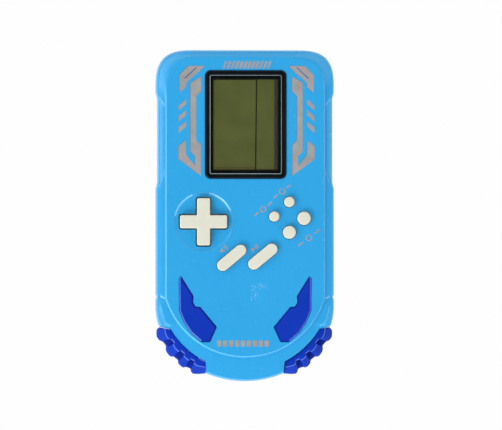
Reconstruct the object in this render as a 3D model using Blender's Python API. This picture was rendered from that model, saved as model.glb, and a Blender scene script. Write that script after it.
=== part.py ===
"""Handheld LCD game with a cross pad, lying on its back.

Frame: +Y towards the screen end, +Z out of the front face, +X to the right.
The origin is the centre of the back face's outline, at the back (bounding box
bottom centre).  All constants are in millimetres and are scaled to metres.
"""
import math

import bmesh
import bpy
from mathutils import Vector

MM = 0.001

# ---------------------------------------------------------------- dimensions
HALF_W = 39.87          # half the width of the body
HALF_L = 73.95          # half the length of the body
DECK_Z = 24.0           # front face
DECK_IN_Z = 22.0        # inner side of the front face
DECK_HALF_W = 35.4      # raised front deck
RIM_FRONT_Z = 12.9      # parting line, front shell
RIM_REAR_Z = 12.6       # parting line, rear shell
LIP_H = 1.2             # tongue and groove at the parting line
FLOOR_Z = 2.0           # rear shell floor thickness
GAP = 0.3

GRIP_C = (0.0, -30.6)   # centre of the arc that the corner grips follow
GRIP_R = 38.9
DECK_ARC_C = (0.0, -25.95)
DECK_ARC_R = 37.1

SCREEN_C = (0.2, 40.5)
BEZEL = (35.9, 47.9)
BEZEL_IN = (32.7, 44.8)
VIEW = (29.6, 41.2)
BEZEL_TOP_Z = 24.6

PCB_Z0, PCB_Z1 = 15.8, 17.4
SHEET_Z0, SHEET_Z1, DOME_Z = 17.7, 18.1, 18.65
BUTTON_BOTTOM_Z, FLANGE_TOP_Z = 20.0, 21.3
BUTTON_TOP_Z = 26.0

DPAD_C = (-18.6, -2.84)
DPAD_HALF = 10.85
DPAD_ARM = 5.85
DPAD_PIVOT_Z = 19.0
DISH_R = 13.05
DISH_DEPTH = 0.9

ROUND_BUTTONS = {
    "button_power": (12.9, -0.5, 2.3),
    "button_reset": (19.6, 6.0, 2.35),
    "button_rotate_right": (26.15, -1.3, 3.0),
    "button_rotate_lower": (19.6, -7.55, 2.9),
}
PILL_BUTTONS = {
    "button_start": ((3.8, -21.6), (11.7, -15.1), 2.6),
    "button_sound": ((-10.0, -22.2), (-2.15, -15.6), 2.6),
}

CASE_SCREWS = [(-31.5, 63.0), (31.5, 63.0), (-32.5, -14.0), (32.5, -14.0),
               (-12.5, -61.8), (12.5, -61.8)]
PCB_SCREWS = [(-26.0, 54.0), (26.0, 54.0), (-26.5, -18.4), (26.5, -18.4)]

BAY_X = 27.4            # battery bay, half width inside
BAY_Y0, BAY_Y1 = -53.2, -23.6
BAY_Z = 17.0
BAY_WALL = 1.2
CELL_R, CELL_L = 7.1, 50.5
CELL_Y = (-31.0, -45.8)
CELL_Z = 9.6
DOOR_HINGE = (0.0, -52.9, 0.4)

BUZZER_C = (0.0, 22.0)
BUZZER_R = 10.0

# ------------------------------------------------------------------- colours
LIGHT_BLUE = (0.045, 0.40, 0.83)
DARK_BLUE = (0.012, 0.05, 0.50)
CREAM = (0.80, 0.79, 0.66)
BLACK = (0.008, 0.010, 0.014)
OLIVE = (0.09, 0.105, 0.033)

for old in list(bpy.data.objects):
    bpy.data.objects.remove(old, do_unlink=True)

scene_collection = bpy.context.scene.collection


# ------------------------------------------------------------------- helpers
def material(name, colour, roughness=0.5, metallic=0.0, alpha=1.0):
    mat = bpy.data.materials.new(name)
    mat.use_nodes = True
    shader = mat.node_tree.nodes["Principled BSDF"]
    shader.inputs["Base Color"].default_value = (*colour, 1.0)
    shader.inputs["Roughness"].default_value = roughness
    shader.inputs["Metallic"].default_value = metallic
    shader.inputs["Alpha"].default_value = alpha
    return mat


def link(obj, collection=None):
    (collection or scene_collection).objects.link(obj)
    return obj


def mesh_object(name, bm, mat=None, collection=None, smooth=True, offset=(0, 0, 0)):
    """Makes an object from a bmesh in millimetres, its origin at offset."""
    bm.normal_update()
    bmesh.ops.recalc_face_normals(bm, faces=bm.faces)
    for v in bm.verts:
        v.co = (v.co - Vector(offset)) * MM
    mesh = bpy.data.meshes.new(name)
    bm.to_mesh(mesh)
    bm.free()
    if smooth:
        mesh.shade_smooth()
        mesh.set_sharp_from_angle(angle=math.radians(32))
    obj = bpy.data.objects.new(name, mesh)
    obj.location = Vector(offset) * MM
    if mat:
        mesh.materials.append(mat)
    return link(obj, collection)


def loft(rings, bm=None):
    """Closed body through rings of equal count, capped at both ends."""
    bm = bm or bmesh.new()
    loops = [[bm.verts.new(p) for p in ring] for ring in rings]
    n = len(rings[0])
    for a, b in zip(loops, loops[1:]):
        for i in range(n):
            j = (i + 1) % n
            bm.faces.new((a[i], a[j], b[j], b[i]))
    bm.faces.new(list(reversed(loops[0])))
    bm.faces.new(loops[-1])
    return bm


def prism(outline, z0, z1, bm=None):
    return loft([[(x, y, z0) for x, y in outline], [(x, y, z1) for x, y in outline]], bm)


def box(x0, x1, y0, y1, z0, z1, bm=None):
    return prism([(x0, y0), (x1, y0), (x1, y1), (x0, y1)], z0, z1, bm)


def rounded_rect(cx, cy, w, h, r, per_corner=4):
    pts = []
    for sx, sy, a0 in ((1, 1, 0), (-1, 1, 90), (-1, -1, 180), (1, -1, 270)):
        for k in range(per_corner + 1):
            a = math.radians(a0 + 90 * k / per_corner)
            pts.append((cx + sx * (w / 2 - r) + r * math.cos(a),
                        cy + sy * (h / 2 - r) + r * math.sin(a)))
    return pts


def circle(cx, cy, r, n=20, start=0.0):
    return [(cx + r * math.cos(start + 2 * math.pi * i / n),
             cy + r * math.sin(start + 2 * math.pi * i / n)) for i in range(n)]


def turned(cx, cy, profile, n=20, bm=None):
    """Turned body about a vertical axis through (cx, cy); profile is (r, z)."""
    return loft([[(x, y, z) for x, y in circle(cx, cy, r, n)] for r, z in profile], bm)


def ring_body(outer_inner, zs):
    """Frame with a through opening: outer rings up, inner rings back down."""
    bm = bmesh.new()
    loops = [[bm.verts.new((x, y, z)) for x, y in ring] for ring, z in zip(outer_inner, zs)]
    n = len(loops[0])
    for a, b in zip(loops, loops[1:] + loops[:1]):
        for i in range(n):
            j = (i + 1) % n
            bm.faces.new((a[i], a[j], b[j], b[i]))
    return bm


def capsule(p, q, r, per_end=8):
    ang = math.atan2(q[1] - p[1], q[0] - p[0])
    pts = []
    for centre, base in ((q, ang - math.pi / 2), (p, ang + math.pi / 2)):
        for k in range(per_end + 1):
            a = base + math.pi * k / per_end
            pts.append((centre[0] + r * math.cos(a), centre[1] + r * math.sin(a)))
    return pts


def cross(cx, cy, half, arm, r, grow=0.0, steps=3):
    """Plus-shaped outline with rounded outer corners."""
    h, a = half + grow, arm / 2 + grow
    pts = []
    for quarter in range(4):
        rot = math.radians(90 * quarter)
        local = []
        for sx, a0 in ((-1, -90), (1, 0)):
            for k in range(steps + 1):
                t = math.radians(a0 + 90 * k / steps)
                local.append((h - r + r * math.cos(t), sx * (a - r) + r * math.sin(t)))
        local.append((a, a))
        for x, y in local:
            pts.append((cx + x * math.cos(rot) - y * math.sin(rot),
                        cy + x * math.sin(rot) + y * math.cos(rot)))
    return pts


def collection_of(name):
    col = bpy.data.collections.new(name)
    scene_collection.children.link(col)
    return col


def helper(name, bm, collection):
    obj = mesh_object(name, bm, None, collection, smooth=False)
    obj.hide_render = True
    obj.display_type = 'WIRE'
    return obj


def boolean(obj, operation, collection):
    mod = obj.modifiers.new(operation.title() + "_" + collection.name, 'BOOLEAN')
    mod.operation = operation
    mod.operand_type = 'COLLECTION'
    mod.collection = collection
    mod.solver = 'EXACT'
    return mod


def mirrored(half):
    """Closed outline from its right half, listed from top to bottom centre."""
    return half + [(-x, y) for x, y in reversed(half[1:-1])]


def superellipse(cx, cy, a, b, n, steps):
    pts = []
    for k in range(1, steps + 1):
        t = math.pi / 2 * k / steps
        pts.append((cx + a * abs(math.sin(t)) ** (2 / n), cy + b * max(math.cos(t), 0.0) ** (2 / n)))
    return pts


def on_arc(centre, r, degrees):
    a = math.radians(degrees)
    return (centre[0] + r * math.cos(a), centre[1] + r * math.sin(a))


# ------------------------------------------------------------------ outlines
def body_outline():
    pts = [(0.0, HALF_L), (8.0, HALF_L), (16.0, HALF_L), (HALF_W - 17.0, HALF_L)]
    pts += superellipse(HALF_W - 17.0, HALF_L - 17.0, 17.0, 17.0, 2.95, 9)
    pts += [(HALF_W, 54.9), (39.15, 52.0), (39.15, 33.7), (39.15, 15.5), (HALF_W, 12.0),
            (HALF_W, -10.0), (HALF_W, -34.5), (39.35, -36.3), (HALF_W, -38.0), (HALF_W, -41.5)]
    pts += [(39.7, -43.5), (39.5, -45.3), (39.1, -47.0), (38.6, -48.8), (38.0, -49.65)]
    pts += [(33.3, -50.6)]
    pts += [on_arc(GRIP_C, GRIP_R, a) for a in (-36.5, -42, -47.5, -53, -58, -62.8)]
    pts += [(17.4, -70.4)]
    pts += [(12.0, -72.35), (6.2, -73.5), (0.0, -HALF_L)]
    return pts


def deck_outline(inset=0.0):
    w, r = DECK_HALF_W - inset, DECK_ARC_R - inset
    top = 70.5 - inset
    pts = [(0.0, top), (7.0, top), (13.5, top), (w - 16.5, top)]
    pts += superellipse(w - 16.5, top - 16.5, 16.5, 16.5, 2.95, 9)
    pts += [(w, y) for y in (52.0, 49.2, 33.7, 19.3, 16.0, -10.0, -31.0, -34.0)]
    pts += [on_arc(DECK_ARC_C, r, a) for a in (-17.5, -20, -23, -26, -29, -32, -35,
                                               -39, -44, -49, -54, -59, -63.5, -67, -70, -76, -83)]
    pts += [(0.0, DECK_ARC_C[1] - r)]
    return pts


def cavity_outline():
    w = 37.15
    pts = [(0.0, 71.95), (7.8, 71.95), (15.5, 71.95), (22.1, 71.95)]
    pts += superellipse(22.1, 57.0, w - 22.1, 14.95, 2.95, 9)
    pts += [(w, y) for y in (54.9, 52.0, 33.7, 15.5, 12.0, -10.0, -34.5, -36.3, -38.0, -41.5)]
    pts += [(37.0, -43.3), (36.8, -44.5), (36.4, -45.8), (35.9, -47.0), (35.2, -47.7)]
    pts += [(32.0, -48.8)]
    pts += [on_arc(GRIP_C, 36.8, a) for a in (-35.5, -41, -47, -53, -59, -65)]
    pts += [(15.35, -69.4)]
    pts += [(10.5, -70.8), (5.5, -71.6), (0.0, -71.9)]
    return pts


def inset(outline, d):
    """Draws an outline in towards the centre by about d."""
    return [(x * (1 - d / HALF_W), y * (1 - d / HALF_L)) for x, y in outline]


def between(a, b, t):
    return [(p[0] + (q[0] - p[0]) * t, p[1] + (q[1] - p[1]) * t) for p, q in zip(a, b)]


def at(outline, z):
    return [(x, y, z) for x, y in outline]


BODY = mirrored(body_outline())
CAVITY = mirrored(cavity_outline())
DECK = mirrored(deck_outline())
DECK_FOOT = mirrored(deck_outline(-0.35))
DECK_TOP = mirrored(deck_outline(0.35))
DECK_INNER = mirrored(deck_outline(2.0))
assert len(BODY) == len(CAVITY) == len(DECK)

m_body = material("light_blue_abs", LIGHT_BLUE, 0.38)
m_dark = material("dark_blue_plastic", DARK_BLUE, 0.42)
m_cream = material("cream_button_plastic", CREAM, 0.45)
m_black = material("black_bezel", BLACK, 0.22)
m_lens = material("clear_lens", (0.9, 0.92, 0.9), 0.05, alpha=0.35)
m_lcd = material("lcd_glass", OLIVE, 0.25)
m_white = material("white_holder", (0.75, 0.75, 0.72), 0.5)
m_rubber = material("keypad_rubber", (0.45, 0.46, 0.46), 0.8)
m_zebra = material("zebra_rubber", (0.10, 0.10, 0.12), 0.8)
m_pcb = material("circuit_board", (0.03, 0.20, 0.06), 0.45)
m_epoxy = material("epoxy_blob", (0.01, 0.01, 0.01), 0.25)
m_cap = material("capacitor_sleeve", (0.02, 0.03, 0.12), 0.35)
m_steel = material("zinc_screw", (0.62, 0.62, 0.60), 0.35, 1.0)
m_brass = material("piezo_brass", (0.75, 0.55, 0.22), 0.35, 1.0)
m_contact = material("nickel_contact", (0.66, 0.65, 0.62), 0.3, 1.0)
m_cell = material("battery_sleeve", (0.10, 0.11, 0.12), 0.35)
m_red = material("red_wire", (0.6, 0.02, 0.02), 0.5)
m_blackwire = material("black_wire", (0.02, 0.02, 0.02), 0.5)


# --------------------------------------------------------------- front shell
front = mesh_object("front_shell", loft([
    at(DECK_TOP, DECK_Z),
    at(DECK, DECK_Z - 0.25),
    at(DECK_FOOT, 23.0),
    at(inset(BODY, 1.3), 20.8),
    at(inset(BODY, 0.5), 20.2),
    at(inset(BODY, 0.1), 18.6),
    at(BODY, RIM_FRONT_Z),
    at(between(BODY, CAVITY, 0.5), RIM_FRONT_Z),
    at(between(BODY, CAVITY, 0.5), RIM_FRONT_Z + LIP_H + GAP),
    at(CAVITY, RIM_FRONT_Z + LIP_H + GAP),
    at(CAVITY, 18.2),
    at(DECK_INNER, DECK_IN_Z),
]), m_body)

front_add = collection_of("front_bosses")
front_cut = collection_of("front_cuts")

for i, (x, y) in enumerate(CASE_SCREWS):
    top = 20.6 if y < -40 else 22.3
    helper(f"front_boss_{i}", turned(x, y, [(2.8, 12.95), (2.8, top)], 14), front_add)
    helper(f"front_pilot_{i}", turned(x, y, [(1.3, 12.0), (1.3, 18.0)], 10), front_cut)
for i, (x, y) in enumerate(PCB_SCREWS):
    helper(f"pcb_boss_{i}", turned(x, y, [(2.2, PCB_Z1 + GAP), (2.2, 22.4)], 12), front_add)
    helper(f"pcb_pilot_{i}", turned(x, y, [(1.05, 17.0), (1.05, 21.2)], 10), front_cut)

# rib round the screen, and the stepped seat that holds the bezel
sx, sy = SCREEN_C
helper("screen_rib", prism(rounded_rect(sx, sy, 38.5, 50.5, 3.0, 2), 21.0, 22.4), front_add)
helper("bezel_seat", prism(rounded_rect(sx, sy, BEZEL[0] + 0.7, BEZEL[1] + 0.7, 2.6, 4), 22.5, 25.0), front_cut)
helper("screen_opening", prism(rounded_rect(sx, sy, 31.9, 43.5, 1.2, 2), 20.0, 23.0), front_cut)

# round buttons and pills
for name, (x, y, r) in ROUND_BUTTONS.items():
    helper(name + "_hole", turned(x, y, [(r + 0.35, 21.0), (r + 0.35, 25.0)], 20), front_cut)
for name, (p, q, r) in PILL_BUTTONS.items():
    helper(name + "_hole", prism(capsule(p, q, r + 0.35), 21.0, 25.0), front_cut)

# shallow dish round the cross pad, and the hole that the pad comes through
dx, dy = DPAD_C
dish = [(DISH_R, 25.0), (DISH_R, DECK_Z - 0.15), (DISH_R - 0.5, DECK_Z - 0.45),
        (DISH_R * 0.72, DECK_Z - DISH_DEPTH), (0.4, DECK_Z - DISH_DEPTH - 0.05)]
helper("dpad_dish", turned(dx, dy, dish, 40), front_cut)
helper("dpad_hole", prism(cross(dx, dy, DPAD_HALF, DPAD_ARM, 1.3, 0.6), 21.0, 25.0), front_cut)

# tongue notches for the two grips
TONGUE_DEG = 54.0


def radial_block(sign, r0, r1, half, z0, z1):
    a = math.radians(-TONGUE_DEG)
    u = Vector((sign * math.cos(a), math.sin(a)))
    v = Vector((-u.y, u.x))
    c = Vector(GRIP_C)
    quad = [c + u * r0 - v * half, c + u * r1 - v * half, c + u * r1 + v * half, c + u * r0 + v * half]
    return prism([tuple(p) for p in quad], z0, z1)


rear_cut = collection_of("rear_cuts")
for side, sign in (("left", -1), ("right", 1)):
    helper(f"{side}_notch_front", radial_block(sign, 34.0, 41.0, 2.8, 12.0, 15.2), front_cut)
    helper(f"{side}_notch_rear", radial_block(sign, 34.0, 41.0, 2.8, 10.6, 14.6), rear_cut)

# recesses for the dark inlays
INLAY = [(28.7, -27.1), (23.2, -36.0), (23.4, -38.9), (22.2, -40.8), (20.1, -40.9), (12.8, -49.8),
         (15.8, -56.3), (19.5, -56.3), (24.1, -52.2), (27.3, -47.3), (29.3, -42.4), (29.4, -28.3)]


def offset_polygon(points, d):
    """Offsets a polygon outwards (positive d) with mitred corners."""
    area = sum(a[0] * b[1] - b[0] * a[1] for a, b in zip(points, points[1:] + points[:1]))
    s = 1.0 if area > 0 else -1.0
    out = []
    n = len(points)
    for i in range(n):
        p0, p1, p2 = Vector(points[i - 1]), Vector(points[i]), Vector(points[(i + 1) % n])
        e1, e2 = (p1 - p0).normalized(), (p2 - p1).normalized()
        n1, n2 = Vector((e1.y, -e1.x)) * s, Vector((e2.y, -e2.x)) * s
        m = (n1 + n2)
        m = m / max(m.length_squared / 2.0, 0.6)
        out.append(tuple(p1 + m * d))
    return out


for side, sign in (("left", -1), ("right", 1)):
    pts = [(sign * x, y) for x, y in INLAY]
    helper(f"{side}_inlay_seat", prism(offset_polygon(pts, 0.35), 23.0, 25.0), front_cut)
    body = loft([at(pts, 23.3), at(pts, 24.1), at(offset_polygon(pts, -0.35), 24.4)])
    mesh_object(f"{side}_inlay", body, m_dark)

boolean(front, 'UNION', front_add)
boolean(front, 'DIFFERENCE', front_cut)

# ---------------------------------------------------------------- rear shell
rear = mesh_object("rear_shell", loft([
    at(inset(BODY, 1.8), 0.0),
    at(inset(BODY, 1.0), 0.5),
    at(inset(BODY, 0.5), 1.7),
    at(BODY, RIM_REAR_Z),
    at(between(BODY, CAVITY, 0.66), RIM_REAR_Z),
    at(between(BODY, CAVITY, 0.66), RIM_REAR_Z + LIP_H),
    at(CAVITY, RIM_REAR_Z + LIP_H),
    at(inset(CAVITY, 0.7), FLOOR_Z),
]), m_body)

rear_add = collection_of("rear_bosses")
for i, (x, y) in enumerate(CASE_SCREWS):
    helper(f"rear_boss_{i}", turned(x, y, [(3.2, 1.0), (3.2, 12.3)], 14), rear_add)
    helper(f"rear_counterbore_{i}", turned(x, y, [(2.6, -1.0), (2.6, 5.5)], 14), rear_cut)
    helper(f"rear_clearance_{i}", turned(x, y, [(1.35, 4.0), (1.35, 14.0)], 10), rear_cut)
W = BAY_WALL


def bay_outline(grow, chamfer):
    """Battery bay outline, its two lower corners cut off to follow the body."""
    x, y0, y1 = BAY_X + grow, BAY_Y0 - grow, BAY_Y1 + grow
    return [(-x, y0 + chamfer), (-x + chamfer, y0), (x - chamfer, y0), (x, y0 + chamfer), (x, y1), (-x, y1)]


helper("bay_block", prism(bay_outline(W, 2.4), 1.0, BAY_Z + W), rear_add)
helper("bay_hollow", prism(bay_outline(0.0, 1.7), -1.0, BAY_Z), rear_cut)
for i, x in enumerate((-15.0, 15.0)):
    helper(f"door_slot_{i}", box(x - 3.4, x + 3.4, BAY_Y0 - 1.0, BAY_Y0 + 0.5, 0.9, 3.2), rear_cut)
helper("thumb_notch", box(-5.2, 5.2, BAY_Y1 - 0.5, BAY_Y1 + 2.2, -1.0, 1.55), rear_cut)
helper("plus_tab_slot", box(-27.4, -26.2, BAY_Y1 - 0.5, BAY_Y1 + W + 0.5, 10.4, 13.6), rear_cut)
helper("minus_tab_slot", box(-BAY_X - W - 0.5, -BAY_X + 0.5, -47.2, -44.4, 12.1, 13.4), rear_cut)
# ring that locates the buzzer, and its sound holes
helper("buzzer_ring", ring_body([circle(*BUZZER_C, 11.6, 24), circle(*BUZZER_C, 11.6, 24),
                                 circle(*BUZZER_C, 10.5, 24), circle(*BUZZER_C, 10.5, 24)],
                                [1.0, 4.2, 4.2, 1.0]), rear_add)
for i in range(7):
    hx, hy = BUZZER_C if i == 0 else on_arc(BUZZER_C, 4.2, 60 * i)
    helper(f"sound_hole_{i}", turned(hx, hy, [(0.8, -1.0), (0.8, 3.0)], 8), rear_cut)
boolean(rear, 'UNION', rear_add)
boolean(rear, 'DIFFERENCE', rear_cut)

# -------------------------------------------------------------- battery door
door_add = collection_of("door_parts")
door_cut = collection_of("door_cuts")
hx, hy, hz = DOOR_HINGE
door = mesh_object("battery_door", prism(bay_outline(-0.4, 1.6), 0.3, 1.9), m_body,
                   smooth=False, offset=DOOR_HINGE)
for i, x in enumerate((-15.0, 15.0)):
    helper(f"door_tab_{i}", box(x - 3.0, x + 3.0, -53.9, -52.0, 1.2, 1.8), door_add)
helper("door_thumb_tab", box(-4.7, 4.7, -24.5, -21.8, 0.3, 1.25), door_add)
for i in range(4):
    y = -27.6 - 1.5 * i
    helper(f"door_rib_{i}", box(-6.0, 6.0, y - 0.35, y + 0.35, 0.0, 0.7), door_cut)
boolean(door, 'UNION', door_add)
boolean(door, 'DIFFERENCE', door_cut)

# --------------------------------------------------------------------- grips
GRIP_OUTER = [(38.45, -50.15), (39.2, -51.1), (39.1, -54.0), (37.8, -55.8), (35.1, -57.8),
              (34.8, -60.9), (32.7, -63.0), (29.6, -64.5), (29.5, -65.5), (27.2, -67.8),
              (24.0, -68.4), (23.8, -69.6), (22.8, -70.7), (17.9, -70.5)]
GRIP_INNER = ([(18.2, -65.5)] +
              [on_arc(GRIP_C, GRIP_R + 0.35, a) for a in (-58.5, -54, -49, -44, -39, -35)] +
              [(33.6, -51.0)])


def toward_arc(points, t):
    """Moves points in towards the inner arc by a share t of their distance."""
    out = []
    for x, y in points:
        v = Vector((x, y)) - Vector(GRIP_C)
        r = GRIP_R + 0.35
        if v.length > r:
            v = v * ((v.length + (r - v.length) * t) / v.length)
        out.append((v.x + GRIP_C[0], v.y + GRIP_C[1]))
    return out


for side, sign in (("left", -1), ("right", 1)):
    def ring(t, z):
        pts = GRIP_INNER + toward_arc(GRIP_OUTER, t)
        return [(sign * x, y, z) for x, y in pts]
    grip = mesh_object(f"{side}_grip", loft([ring(0.30, 1.6), ring(0.0, 4.5), ring(0.0, 16.0),
                                             ring(0.40, 20.6)]), m_dark)
    tongue = collection_of(f"{side}_grip_tongue")
    helper(f"{side}_tongue", radial_block(sign, 35.4, 40.0, 2.5, 10.9, 14.9), tongue)
    boolean(grip, 'UNION', tongue)

# -------------------------------------------------------------- screen parts
BZ = [rounded_rect(sx, sy, *BEZEL, 2.3, 4), rounded_rect(sx, sy, *BEZEL, 2.3, 4),
      rounded_rect(sx, sy, BEZEL[0] - 0.5, BEZEL[1] - 0.5, 2.1, 4),
      rounded_rect(sx, sy, BEZEL_IN[0] + 0.3, BEZEL_IN[1] + 0.3, 1.2, 4),
      rounded_rect(sx, sy, *BEZEL_IN, 1.1, 4), rounded_rect(sx, sy, *BEZEL_IN, 1.1, 4),
      rounded_rect(sx, sy, *VIEW, 0.6, 4), rounded_rect(sx, sy, *VIEW, 0.6, 4),
      rounded_rect(sx, sy, 31.3, 42.9, 1.0, 4), rounded_rect(sx, sy, 31.3, 42.9, 1.0, 4)]
mesh_object("screen_bezel", ring_body(BZ, [22.8, BEZEL_TOP_Z - 0.25, BEZEL_TOP_Z, BEZEL_TOP_Z,
                                           BEZEL_TOP_Z - 0.25, 23.4, 23.4, 21.3, 21.3, 22.8]),
            m_black, smooth=False)
mesh_object("screen_lens", loft([at(rounded_rect(sx, sy, 32.1, 44.2, 0.8, 3), 23.7),
                                 at(rounded_rect(sx, sy, 32.1, 44.2, 0.8, 3), 24.2),
                                 at(rounded_rect(sx, sy, 31.9, 44.0, 0.7, 3), 24.3)]), m_lens)
mesh_object("lcd_panel", box(sx - 16.3, sx + 16.3, sy - 21.8, sy + 21.8, 18.7, 20.7), m_lcd, smooth=False)
holder = [rounded_rect(sx, sy, 35.6, 46.8, 1.0, 1)] * 2 + [rounded_rect(sx, sy, 33.2, 44.2, 0.4, 1)] * 2 \
    + [rounded_rect(sx, sy, 28.0, 39.0, 0.4, 1)] * 2
mesh_object("lcd_holder", ring_body(holder, [17.75, 20.6, 20.6, 18.4, 18.4, 17.75]), m_white, smooth=False)
mesh_object("zebra_strip", box(sx - 13.5, sx + 13.5, sy - 19.1, sy - 17.2, 17.75, 18.35), m_zebra, smooth=False)

# ------------------------------------------------------------------- buttons
for name, (x, y, r) in ROUND_BUTTONS.items():
    profile = [(r + 0.9, BUTTON_BOTTOM_Z), (r + 0.9, FLANGE_TOP_Z), (r, FLANGE_TOP_Z),
               (r, BUTTON_TOP_Z - 0.5), (r - 0.2, BUTTON_TOP_Z - 0.15), (r - 0.6, BUTTON_TOP_Z)]
    mesh_object(name, turned(x, y, profile, 20), m_cream, offset=(x, y, BUTTON_BOTTOM_Z))
for name, (p, q, r) in PILL_BUTTONS.items():
    mid = ((p[0] + q[0]) / 2, (p[1] + q[1]) / 2, BUTTON_BOTTOM_Z)
    rings = [at(capsule(p, q, r + g), z) for g, z in
             ((0.9, BUTTON_BOTTOM_Z), (0.9, FLANGE_TOP_Z), (0.0, FLANGE_TOP_Z),
              (0.0, BUTTON_TOP_Z - 0.5), (-0.2, BUTTON_TOP_Z - 0.15), (-0.6, BUTTON_TOP_Z))]
    mesh_object(name, loft(rings), m_cream, offset=mid)

# ----------------------------------------------------------------- cross pad
pivot = bpy.data.objects.new("dpad_axis", None)
pivot.location = Vector((dx, dy, DPAD_PIVOT_Z)) * MM
link(pivot)
pad = mesh_object("dpad", loft([
    at(cross(dx, dy, DPAD_HALF, DPAD_ARM, 1.2, 0.9), 19.4),
    at(cross(dx, dy, DPAD_HALF, DPAD_ARM, 1.2, 0.9), 20.3),
    at(cross(dx, dy, DPAD_HALF, DPAD_ARM, 0.9), 20.3),
    at(cross(dx, dy, DPAD_HALF, DPAD_ARM, 0.9), 25.9),
    at(cross(dx, dy, DPAD_HALF, DPAD_ARM, 0.7, -0.2), 26.25),
    at(cross(dx, dy, DPAD_HALF, DPAD_ARM, 0.5, -0.6), 26.4)]), m_cream,
    offset=(dx, dy, DPAD_PIVOT_Z))
pad_cut = collection_of("dpad_cuts")
helper("dpad_socket", turned(dx, dy, [(2.3, 18.0), (2.3, 20.2), (1.7, 21.3)], 16), pad_cut)
boolean(pad, 'DIFFERENCE', pad_cut)
nub = mesh_object("dpad_pivot", turned(dx, dy, [(2.1, 17.75), (2.1, 18.2), (1.1, 18.6), (1.1, 19.1),
                                                (1.55, 19.5), (1.55, 20.1), (1.0, 20.7), (0.4, 20.9)], 16),
                  m_white, offset=(dx, dy, DPAD_PIVOT_Z))

# ----------------------------------------------------------- rubber keypads
pads = {
    "dpad_membrane": (rounded_rect(dx, dy, 21.5, 21.5, 2.5, 3),
                      [(dx + 7.4, dy), (dx - 7.4, dy), (dx, dy + 7.4), (dx, dy - 7.4)]),
    "button_membrane": (rounded_rect(19.6, -0.9, 20.4, 21.0, 2.5, 3),
                        [(x, y) for x, y, _ in ROUND_BUTTONS.values()]),
    "pill_membrane": ([(-10.5, -20.9), (14.5, -20.9), (14.5, -15.2), (13.0, -13.2), (-6.5, -14.0), (-10.5, -17.0)],
                      [((p[0] + q[0]) / 2, (p[1] + q[1]) / 2) for p, q, _ in PILL_BUTTONS.values()]),
}
for name, (outline, domes) in pads.items():
    sheet = mesh_object(name, prism(outline, SHEET_Z0, SHEET_Z1), m_rubber, smooth=False)
    extra = collection_of(name + "_domes")
    top = 18.4 if name == "dpad_membrane" else DOME_Z
    for i, (x, y) in enumerate(domes):
        helper(f"{name}_dome_{i}", turned(x, y, [(2.4, SHEET_Z1 - 0.2), (2.4, SHEET_Z1 + 0.1), (1.7, top)], 12), extra)
    boolean(sheet, 'UNION', extra)
    if name == "dpad_membrane":
        cut = collection_of(name + "_cut")
        helper("dpad_membrane_hole", turned(dx, dy, [(2.6, 17.0), (2.6, 19.0)], 16), cut)
        boolean(sheet, 'DIFFERENCE', cut)

# ------------------------------------------------- circuit board and its parts
board = mesh_object("circuit_board", prism([(-29.3, -21.3), (29.3, -21.3), (29.3, 57.2), (27.4, 57.2), (27.4, 66.0),
                                            (-27.4, 66.0), (-27.4, 57.2), (-29.3, 57.2)], PCB_Z0, PCB_Z1),
                    m_pcb, smooth=False)
board_cut = collection_of("board_holes")
for i, (x, y) in enumerate(PCB_SCREWS):
    helper(f"board_hole_{i}", turned(x, y, [(1.1, 15.0), (1.1, 18.0)], 10), board_cut)
boolean(board, 'DIFFERENCE', board_cut)
mesh_object("chip_blob", turned(0.0, 38.0, [(3.0, 13.9), (5.0, 14.3), (6.6, 15.0), (7.0, 15.5)], 20), m_epoxy)
mesh_object("capacitor", turned(16.0, 4.0, [(2.5, 8.9), (2.5, 15.0), (2.3, 15.5)], 14), m_cap)
flat_side = [on_arc((-14.0, 4.0), 2.3, -52 + 284 * k / 12) for k in range(13)]
mesh_object("transistor", prism(flat_side, 10.7, 15.5), m_epoxy)
mesh_object("buzzer", turned(*BUZZER_C, [(BUZZER_R, 2.35), (BUZZER_R, 2.75), (7.0, 2.76), (7.0, 3.05)], 24), m_brass)


# ------------------------------------------------------- cells and contacts
def along_x(profile, y, z, n=18, flip=1):
    """Turned body about an axis along X; profile is (x, r)."""
    bm = bmesh.new()
    return loft([[(flip * x, y + r * math.cos(2 * math.pi * i / n), z + r * math.sin(2 * math.pi * i / n))
                  for i in range(n)] for x, r in profile], bm)


cell = [(-25.25, 2.7), (-24.3, 2.75), (-24.25, 6.3), (-23.9, CELL_R), (24.9, CELL_R), (25.25, 6.4)]
mesh_object("battery_1", along_x(cell, CELL_Y[0], CELL_Z), m_cell)
mesh_object("battery_2", along_x(cell, CELL_Y[1], CELL_Z, flip=-1), m_cell)

plus = mesh_object("contact_plus", box(-27.1, -26.7, -36.0, -26.0, 5.0, 14.6), m_contact, smooth=False)
plus_add = collection_of("plus_tab")
helper("plus_tab", box(-27.1, -26.7, -26.5, -21.4, 10.8, 13.2), plus_add)
helper("plus_button", along_x([(-26.8, 3.0), (-25.6, 2.2)], CELL_Y[0], CELL_Z, 14), plus_add)
boolean(plus, 'UNION', plus_add)

minus = mesh_object("contact_minus_spring", box(-27.1, -26.7, -50.5, -41.0, 5.0, 14.6), m_contact, smooth=False)
minus_add = collection_of("minus_tab")
helper("minus_tab", box(-30.0, -26.9, -46.8, -44.8, 12.5, 12.95), minus_add)
helper("minus_spring_cone", along_x([(-26.8, 5.0), (-25.6, 3.2)], CELL_Y[1], CELL_Z, 14), minus_add)
boolean(minus, 'UNION', minus_add)

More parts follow.
